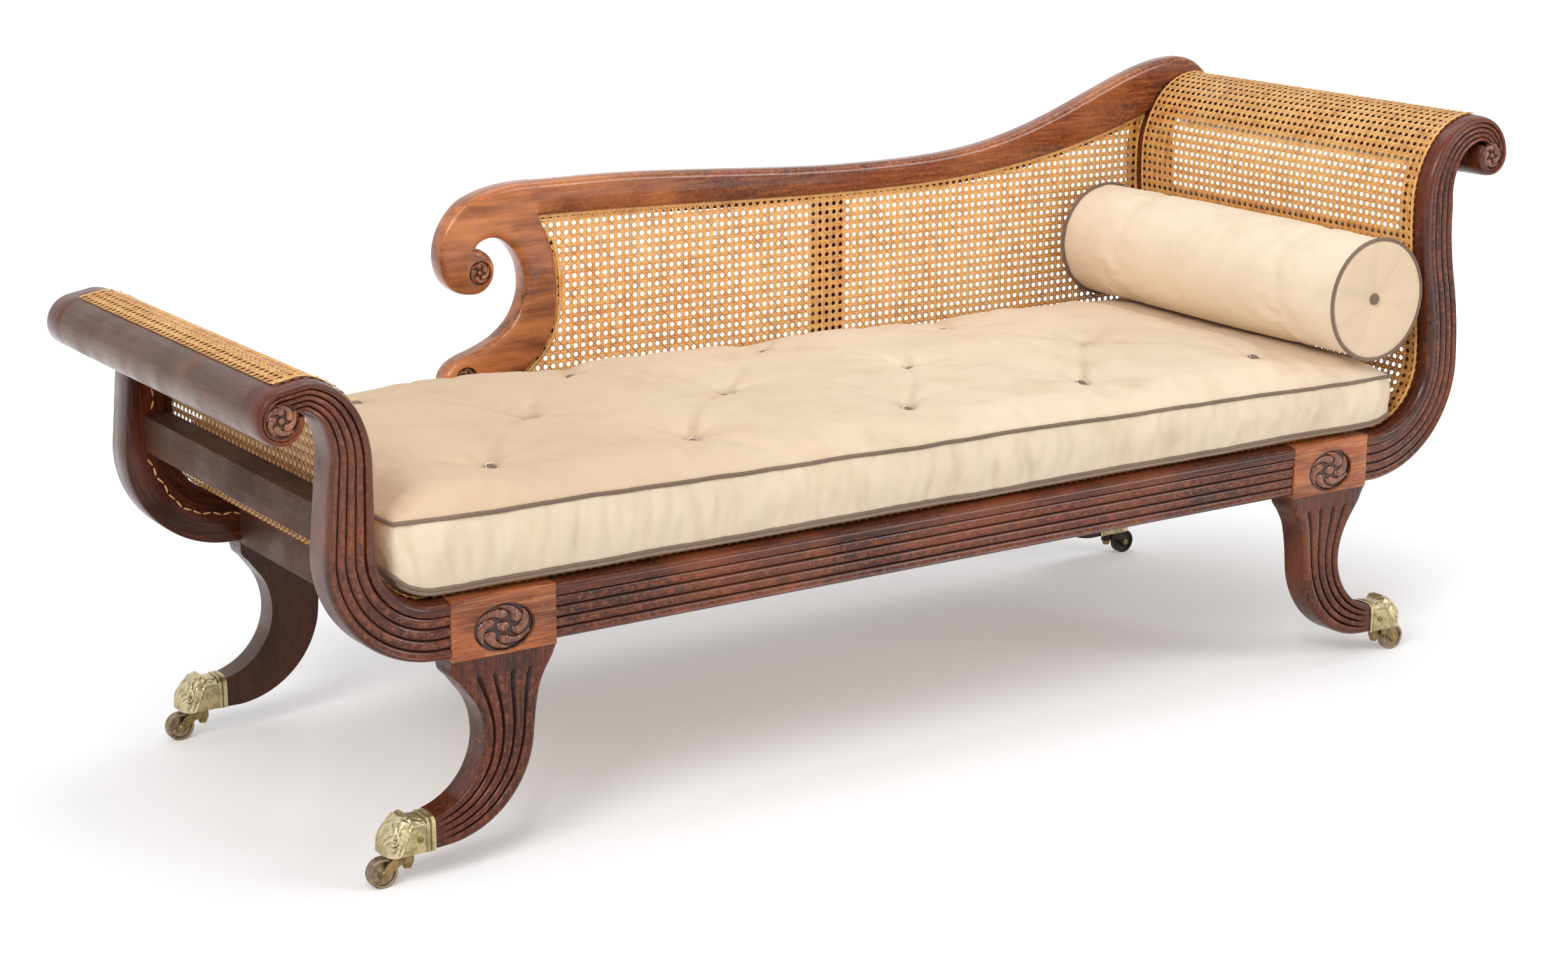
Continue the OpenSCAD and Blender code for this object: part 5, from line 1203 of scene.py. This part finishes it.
def folds(x, y):
    """Soft creases that run out from the tufts and between them."""
    out = np.zeros_like(x)
    for k, (tx, ty) in enumerate(TUFTS):
        dx, dy = x - tx, y - ty
        d, a = np.hypot(dx, dy), np.arctan2(dy, dx)
        wave = (np.cos(3 * a + 1.7 * k) + 0.8 * np.cos(5 * a - 2.3 * k + d / 60) + 0.7 * np.cos(8 * a + 0.9 * k)
                + 0.4 * np.cos(13 * a + 2.1 * k))
        out += 1.2 * wave * np.exp(-d / 46) * (1 - np.exp(-(d / 13) ** 2))
    for b in range(5, 9):
        for a in range(5):
            out -= crease(x, y, TUFTS[a], TUFTS[b], 4.4 if (a + b) % 2 else 2.8, 6.5)
        for c in range(9, 13):
            out -= crease(x, y, TUFTS[b], TUFTS[c], 3.0, 7.0)
    return out


def set_coords(mesh, co):
    mesh.vertices.foreach_set("co", (co * MM).astype(np.float32).ravel())
    mesh.update()


def swell(obj, pins, pressure, shrink, cap, frames, tension):
    """Blows a padded piece up with a short cloth simulation, and keeps the result as its mesh."""
    group = obj.vertex_groups.new(name="pins")
    for k in np.flatnonzero(pins).tolist():
        group.add([k], float(pins[k]), "REPLACE")
    start = coords(obj.data)
    mod = obj.modifiers.new("swell", "CLOTH")
    s = mod.settings
    s.quality, s.mass = 6, 0.35
    s.tension_stiffness = s.compression_stiffness = tension
    s.shear_stiffness, s.bending_stiffness = 5, 0.6
    s.tension_damping = s.compression_damping = 12
    s.air_damping = 4
    s.use_pressure, s.uniform_pressure_force = True, pressure
    s.effector_weights.gravity = 0
    s.shrink_min = shrink
    s.vertex_group_mass, s.pin_stiffness = "pins", 1
    mod.collision_settings.use_collision = False
    mod.point_cache.frame_start, mod.point_cache.frame_end = 1, frames
    for f in range(1, frames + 1):
        bpy.context.scene.frame_set(f)
    moved = evaluated(obj)
    shift = coords(moved.to_mesh()) - start
    moved.to_mesh_clear()
    obj.modifiers.clear()
    bpy.context.scene.frame_set(1)
    size = np.linalg.norm(shift, axis=1, keepdims=True)
    eased_off = cap * (2 - np.exp(1 - size / cap)) / np.maximum(size, 1e-6) / 1.6
    set_coords(obj.data, start + shift * np.where(size > cap, eased_off, 1))


def subdivided(obj):
    """Smooths the mesh once, and gives its points and normals."""
    mod = obj.modifiers.new("smooth", "SUBSURF")
    mod.levels = mod.render_levels = 1
    apply_modifiers(obj)
    return coords(obj.data), coords(obj.data, "vertex_normals", "vector")


NX, NY, NS = 190, 72, 9


def cushion():
    """The sewn cushion: top, boxing and bottom. Gives the paths of its two pipings."""
    U, V = np.meshgrid(np.linspace(-1, 1, NX + 1), np.linspace(-1, 1, NY + 1), indexing="ij")
    corner = (np.abs(U) ** 14) * (np.abs(V) ** 14)
    X = C_MX + U * C_L / 2 * (1 - 0.006 * corner) - np.sign(U) * 3.0 * (1 - np.abs(V) ** 3) * np.abs(U) ** 30
    Y = C_MY + V * C_D / 2 * (1 - 0.02 * corner) - np.sign(V) * 2.6 * (1 - np.abs(U) ** 3) * np.abs(V) ** 8
    Z = edge_z(X) + upper_wave(X, Y) + cushion_crown(X, Y, 0.88)
    Z = np.minimum(Z, np.maximum(under_bolster(X), edge_z(X) - 2))
    index = np.arange(X.size).reshape(X.shape)
    faces = np.stack([index[:-1, :-1], index[1:, :-1], index[1:, 1:], index[:-1, 1:]], -1).reshape(-1, 4).tolist()
    ids = np.concatenate([index[:-1, 0], index[-1, :-1], index[:0:-1, -1], index[0, :0:-1]])
    n = len(ids)
    px, py = X.ravel()[ids], Y.ravel()[ids]
    along = np.stack([np.roll(px, -1) - np.roll(px, 1), np.roll(py, -1) - np.roll(py, 1)], 1)
    along /= np.linalg.norm(along, axis=1, keepdims=True)
    hi, lo = edge_z(px) + upper_wave(px, py), cushion_floor(px) + 10.5 + lower_wave(px, py)

    def outside(by, z):
        return np.stack([px + along[:, 1] * by, py - along[:, 0] * by, z], 1)
    rows = [outside(1.6 * math.sin(math.pi * s) - 0.4 * s, hi + (lo - hi) * s) for s in np.arange(1, NS + 1) / NS]
    rows += [outside(-inward, np.maximum(lo - drop, cushion_floor(px) + 0.1))
             for drop, inward in ((5.2, 1.2), (9.2, 5.5), (10.2, 14.0))]
    previous, count = ids, X.size
    for _ in rows:
        now = np.arange(n) + count
        faces += np.stack([previous, now, np.roll(now, -1), np.roll(previous, -1)], 1).tolist()
        previous, count = now, count + n
    front, rear = now[:NX + 1], now[NX + NY:2 * NX + NY + 1][::-1]
    faces += np.stack([front[1:-2], rear[1:-2], rear[2:-1], front[2:-1]], 1).tolist()
    faces.append([front[0], *now[:NX + NY:-1][:NY - 1], rear[0], rear[1], front[1]])
    faces.append([front[NX - 1], rear[NX - 1], rear[NX], *now[NX + 1:NX + NY][::-1], front[NX]])
    points = np.concatenate([np.stack([X, Y, Z], -1).reshape(-1, 3), *rows])
    obj = new_object("seat_cushion_sewn", mesh_of("seat_cushion_sewn", points, faces, angle=180))

    # the seams, the tufts and the bottom are held, and the top under the bolster in part
    pins = np.zeros(count)
    pins[:X.size] = np.where(np.abs(X.ravel() - BOL_X) < BOL_R * 0.8, 0.6, 0)
    pins[:X.size][from_tuft(X, Y).ravel() < 9] = 1
    pins[ids] = 1
    pins[X.size + (NS - 1) * n:] = 1
    swell(obj, pins, 4.0, -0.018, 7, 20, 12.0)
    add_values(obj.data, under=np.arange(count) >= X.size + NS * n)
    co, no = subdivided(obj)

    x, y, z = co.T
    on_top = (no[:, 2] > 0.35) & (z > edge_z(x) - 6)
    inside = from_rim(x, y, 12) * np.clip((np.abs(x - BOL_X) - BOL_R * 0.9) / 25, 0, 1)
    small = 0.5 * value_noise(x / 22, y / 31, 11) + 0.9 * value_noise(x / 75, y / 60, 12)
    lift = np.where(on_top, (folds(x, y) + small) * inside, 0)
    # gathers along the boxing, fullest midway between the pipings
    side = (np.abs(no[:, 2]) < 0.75) & (z < edge_z(x) + 2) & (z > cushion_floor(x) + 9)
    s = np.clip((edge_z(x) - z) / np.maximum(1, edge_z(x) - cushion_floor(x) - 10), 0, 1)
    run = np.where(np.abs(no[:, 1]) > np.abs(no[:, 0]), x, y + 900)
    lean = run + 9 * value_noise(run / 90, s * 1.3, 21)
    full = 0.35 + 0.65 * (value_noise(run / 140, run * 0, 22) * 0.5 + 0.5)
    gather = (1.15 * value_noise(lean / 9.5, s * 1.1, 23) + 0.9 * value_noise(lean / 21, s * 0.8, 24)) * full
    pleat = np.where(side, gather * np.sin(math.pi * np.clip(s, 0.06, 0.94)) ** 0.5, 0)
    # painted shade: folds, dimples at the tufts and the gathers' valleys as cavity, and the top darker towards the foot
    # end
    dimple = 0.8 * np.exp(-(from_tuft(x, y) / 13) ** 2)
    hollow = np.where(on_top, np.clip(-lift / 6, 0, 0.6) + dimple, np.clip(-pleat * 0.32, 0, 0.5))
    add_values(obj.data, tan=np.where(on_top, np.clip((60 - x) / 900, 0, 0.6), 0), cavity=np.clip(hollow, 0, 1))
    co += no * (lift + 1.5 * pleat)[:, None]
    x, z = co[:, 0], co[:, 2]
    co[:, 2] = np.where(no[:, 2] > 0.2, np.minimum(z, np.maximum(under_bolster(x), edge_z(x) - 3)), z)
    co[:, 2] = np.maximum(co[:, 2], cushion_floor(x) + 0.05)
    set_coords(obj.data, co)
    shade(obj.data, 180)
    finish_piece(obj, cream, "seat_cushion", body="cushion")
    return outside(0.6, hi + 0.4), outside(0.2, lo)


def tube(name, path, r, sides=14, closed=True, wob=0.0, seed=1, ref=None):
    """A round cord along a path, a little uneven."""
    path = np.asarray(path, float)
    n = len(path)
    d = np.roll(path, -1, 0) - np.roll(path, 1, 0) if closed else np.gradient(path, axis=0)
    d /= np.linalg.norm(d, axis=1, keepdims=True)
    if ref is None:
        ref = (0, 0, 1) if abs(d[:, 2]).mean() < 0.7 else (1, 0, 0)
    e = np.cross(d, ref)
    e /= np.linalg.norm(e, axis=1, keepdims=True)
    f = np.cross(d, e)
    run = run_along(path)
    rad = r * (1 + wob * value_noise(run / 7, run * 0 + seed, 5))[:, None, None]
    t = (2 * np.pi * np.arange(sides) / sides)[:, None]
    rings = path[:, None] + rad * (np.cos(t) * e[:, None] + np.sin(t) * f[:, None])
    if not closed:
        return skin(name, rings, angle=60)
    return mesh_of(name, rings.reshape(-1, 3), quads_of(n + 1, sides) % (n * sides), angle=60)


def denser(path):
    """A closed path's points, 5 mm apart."""
    step, closed = 5, np.concatenate([path, path[:1]])
    run = run_along(closed)
    at = np.arange(0, run[-1] - step / 2, step)
    return np.stack([np.interp(at, run, closed[:, k]) for k in range(3)], 1)


upper, lower = cushion()
for name, path, seed, nodes in (("cushion_piping_upper", upper, 1, ["cushion_piping"]),
                                ("cushion_piping_lower", lower, 9, [])):
    cord = tube(name, denser(path), THIN_PIPE, wob=0.08, seed=seed)
    finish_piece(new_object(name, cord), taupe, *nodes, body="cushion")


def cloth_button(name, centre, axis, r, h, turn):
    """A covered button: domed, dimpled, with the cover pleated in under its rim."""
    axis = np.asarray(axis, float) / np.linalg.norm(axis)
    e = np.cross(axis, [0, 0, 1] if abs(axis[2]) < 0.8 else [1, 0, 0])
    e /= np.linalg.norm(e)
    f = np.cross(axis, e)
    a = 2 * np.pi * np.arange(30)[:, None] / 30 + turn
    rings = []
    for s, t in ((0.12, 0.93), (0.3, 0.98), (0.55, 1), (0.78, 0.9), (0.93, 0.66), (1, 0.34), (0.97, 0.06),
                 (0.8, -0.15)):
        pleat = 1 + 0.03 * np.cos(9 * a) * (s > 0.7)
        rings.append(centre + s * r * pleat * (np.cos(a) * e + np.sin(a) * f) + t * h * axis)
    return skin(name, rings, angle=70)


def joined(name, meshes, node, body):
    """Several meshes of the trim as one piece."""
    mesh = bpy.data.meshes.new(name)
    with edited(mesh, *meshes):
        pass
    shade(mesh, 70)
    finish_piece(new_object(name, mesh), taupe, node, body=body)


def cushion_height(x, y):
    obj = bpy.data.objects["seat_cushion_sewn"]
    hit, where, _, _ = obj.ray_cast(Vector((x * MM, y * MM, 1)), Vector((0, 0, -1)))
    return where.z / MM if hit else float(edge_z(x))


bpy.context.view_layer.update()
BUTTON_R, BUTTON_H = 8, 3.8
buttons, threads = [], []
for k, (tx, ty) in enumerate(TUFTS):
    pressed = abs(tx - BOL_X) < BOL_R * 0.75
    z = float(under_bolster(np.array(tx))) - 5 if pressed else cushion_height(tx, ty) + 2.2
    axis = (0.02 * (k % 3 - 1), -0.16 if ty < C_MY - 60 else 0, 1)
    buttons.append(cloth_button(f"b{k}", np.array([tx, ty, z]), axis, BUTTON_R, BUTTON_H, k))
    if k < 5 and abs(tx - BOL_X) > BOL_R:
        c = math.cos(1.3 * k)
        loop = [(-7, -3, 3), (-5.5, 1, 5), (-2, 3, 5.4), (1 + c, 5, 4.8), (3 + 2 * c, 7.5, 5.6)]
        threads.append(spline(np.array(loop) + [tx, ty, z], 6))
joined("cushion_buttons_covered", buttons, "cushion_buttons", "cushion")


def thread_material():
    n = Nodes("thread", "cream_suede")
    fine = n.noise(n.spot(), 1500, 2)
    n.colour = n.mix(fine, linear((236, 230, 218)), linear((252, 249, 243)))
    return n.done((fine, 0.3, 0.0003), Roughness=0.8)


thread_mat = thread_material()
for k, path in enumerate(threads):
    cord = tube(f"button_thread_{k}", path, 0.55, 8, closed=False)
    finish_piece(new_object(f"button_thread_{k}", cord), thread_mat, body="cushion")


def bolster():
    """Dished, gathered ends on a soft round body."""
    y0, y1, seam, n = bol_lo[1], bol_hi[1], 4.6, 132
    near = [(0.012, 1.0), (0.08, 1.0), (0.13, 0.93), (0.2, 0.72), (0.32, 0.5), (0.46, 0.3), (0.6, 0.14), (0.74, 0.05),
            (0.86, 0.05), (0.94, 0.2), (0.975, 0.42)]
    ys = np.concatenate([np.linspace(y0 + seam, y0 + 40, 7), np.linspace(y0 + 52, y1 - 52, 44),
                         np.linspace(y1 - 40, y1 - seam, 7)])
    profile = [(s, y0 + 9 * t) for s, t in near]
    profile += [(0.966 + 0.022 * math.sin(math.pi * (y - y0) / (y1 - y0)) ** 0.5, y) for y in ys]
    profile += [(s, y1 - 9 * t) for s, t in reversed(near)]
    rings = [np.insert(oval(BOL_X, BOL_Z, s * BOL_R, s * BOL_R, n), 1, y, 1) for s, y in profile]
    obj = new_object("bolster_sewn", skin("bolster_sewn", rings, angle=180))
    pins = [s < 0.1 or 0.96 < s < 0.98 or min(abs(y - y0 - seam), abs(y - y1 + seam)) < 0.1 for s, y in profile]
    swell(obj, np.repeat(np.array(pins, float), n), 3.0, -0.008, 2.5, 16, 22.0)
    co, no = subdivided(obj)

    x, y, z = co.T
    dx, dz = x - BOL_X, z - BOL_Z
    r, a = np.hypot(dx, dz) / BOL_R, np.arctan2(dz, dx)
    c, s = np.cos(a), np.sin(a)
    end = np.abs(no[:, 1]) > 0.6
    env = np.clip((r - 0.1) / 0.2, 0, 1) * np.clip((0.97 - r) / 0.1, 0, 1)
    wave = 1.3 * np.cos(5 * a + 1.2 * np.sin(2 * a)) + 0.7 * np.cos(9 * a + 1.7)
    wave += 0.5 * value_noise(c * 2.2, s * 2.2, 31)
    from_end = np.minimum(y - y0, y1 - y)
    ring = value_noise(c * 4 + from_end / 60, s * 4, 33) + 0.5 * value_noise(c * 8, s * 8 + from_end / 40, 34)
    body = ring * (0.2 + np.exp(-from_end / 30)) * 0.7 + 0.6 * value_noise(c * 1.3 + y / 190, s * 1.3, 35) - 0.3
    co += no * np.where(end, wave * env * (0.5 + 0.4 * r), body)[:, None]
    middle = [BOL_X, BOL_Z]
    across = co[:, [0, 2]] - middle
    size = np.linalg.norm(across, axis=1, keepdims=True)
    co[:, [0, 2]] = middle + across * np.minimum(1, (BOL_R + 1.1) / np.maximum(size, 1e-6))
    set_coords(obj.data, co)
    # painted shade on the bolster's ends
    add_values(obj.data, tan=np.where(end, 0.75, 0))
    shade(obj.data, 180)
    finish_piece(obj, cream_lit, "bolster", body="bolster")
    cords, knobs = [], []
    for k, (edge, inward) in enumerate(((y0, 1), (y1, -1))):
        path = np.insert(oval(BOL_X, BOL_Z, BOL_R - 1, BOL_R - 1, 150), 1, edge + 3.2 * inward, 1)
        cords.append(tube(f"ring{k}", path, THIN_PIPE, 12, wob=0.06, ref=(0, 1, 0)))
        centre = np.array([BOL_X, edge + 9 * inward, BOL_Z])
        knobs.append(cloth_button(f"k{k}", centre, (0, -inward, 0), BUTTON_R, 5, k))
    joined("bolster_piping_rings", cords, "bolster_piping", "bolster")
    joined("bolster_buttons_covered", knobs, "bolster_buttons", "bolster")


bolster()

# ---- floor, light and background ------------------------------------------------------------
def background_rays(tree):
    """1 for the rays that see the white background: camera, glossy and transmission rays."""
    path = tree.nodes.new("ShaderNodeLightPath")
    rays = path.outputs["Is Camera Ray"]
    for kind in ("Is Glossy Ray", "Is Transmission Ray"):
        either = tree.nodes.new("ShaderNodeMath")
        either.operation = "MAXIMUM"
        tree.links.new(rays, either.inputs[0])
        tree.links.new(path.outputs[kind], either.inputs[1])
        rays = either.outputs[0]
    return rays


def floor_material():
    """Pale grey, that glows more and more to the background's white away from the middle."""
    n = Nodes("studio_floor")
    plain = n.spot()
    n.colour = n.mix(n.noise(plain, 0.8, 2), linear((236, 236, 237)), linear((242, 242, 243)))
    n.done((n.noise(plain, 60, 3), 0.05, 0.001), Roughness=0.9, Specular_IOR_Level=0.1)
    away = n.ramp(n.node("VectorMath", 1, {"operation": "LENGTH"}, i0=n.spot((0.72, 1, 1))), 0.6, 1.65, 0.23, 0.95)
    glow = n.node("Emission", Color=(1, 1, 1, 1), Strength=n.times(background_rays(n.tree), away))
    n.link(n.node("AddShader", i0=n.bsdf.outputs[0], i1=glow), n.out.inputs[0])
    return n.mat


FLOOR_REACH, FLOOR_LINES = 34 / MM, 13
lines = np.linspace(-FLOOR_REACH, FLOOR_REACH, FLOOR_LINES)
mesh = mesh_of("studio_floor", [(x, y, 0) for y in lines for x in lines], quads_of(FLOOR_LINES, FLOOR_LINES, False),
               recalc=False)
ground = new_object("studio_floor", mesh)
ground.data.materials.append(floor_material())

world = bpy.data.worlds.new("studio")
bpy.context.scene.world = world
world.use_nodes = True
tree = world.node_tree
tree.nodes.clear()
lit, seen, pick, out = (tree.nodes.new("ShaderNode" + kind) for kind in ("Background", "Background", "MixShader",
                                                                         "OutputWorld"))
for node, strength in ((lit, 0.4), (seen, 1.0)):
    node.inputs[0].default_value, node.inputs[1].default_value = (1, 1, 1, 1), strength
for a, b in ((background_rays(tree), pick.inputs[0]), (lit.outputs[0], pick.inputs[1]),
             (seen.outputs[0], pick.inputs[2]), (pick.outputs[0], out.inputs[0])):
    tree.links.new(a, b)


def softbox(name, place, aim, size, power):
    data = bpy.data.lights.new(name, "AREA")
    data.shape, data.size, data.size_y = "RECTANGLE", *size
    data.energy = power
    obj = bpy.data.objects.new(name, data)
    bpy.context.scene.collection.objects.link(obj)
    place, aim = Vector(place), Vector(aim)
    obj.matrix_world = Matrix.Translation(place) @ (aim - place).to_track_quat("-Z", "Y").to_matrix().to_4x4()


softbox("key", (-4.8, -3.0, 4.4), (0.2, 0, 0.4), (2.4, 2.4), 176)
softbox("fill", (2.6, -3.6, 2.0), (0.2, 0, 0.4), (1.9, 1.5), 62)
softbox("top", (0.7, 0.4, 3.6), (0.2, 0, 0.3), (2.8, 2.2), 40)
softbox("strip", (-1.6, -2.0, 2.9), (0.1, 0, 0.5), (0.25, 2.2), 26)
bpy.context.scene.view_settings.view_transform = "Standard"
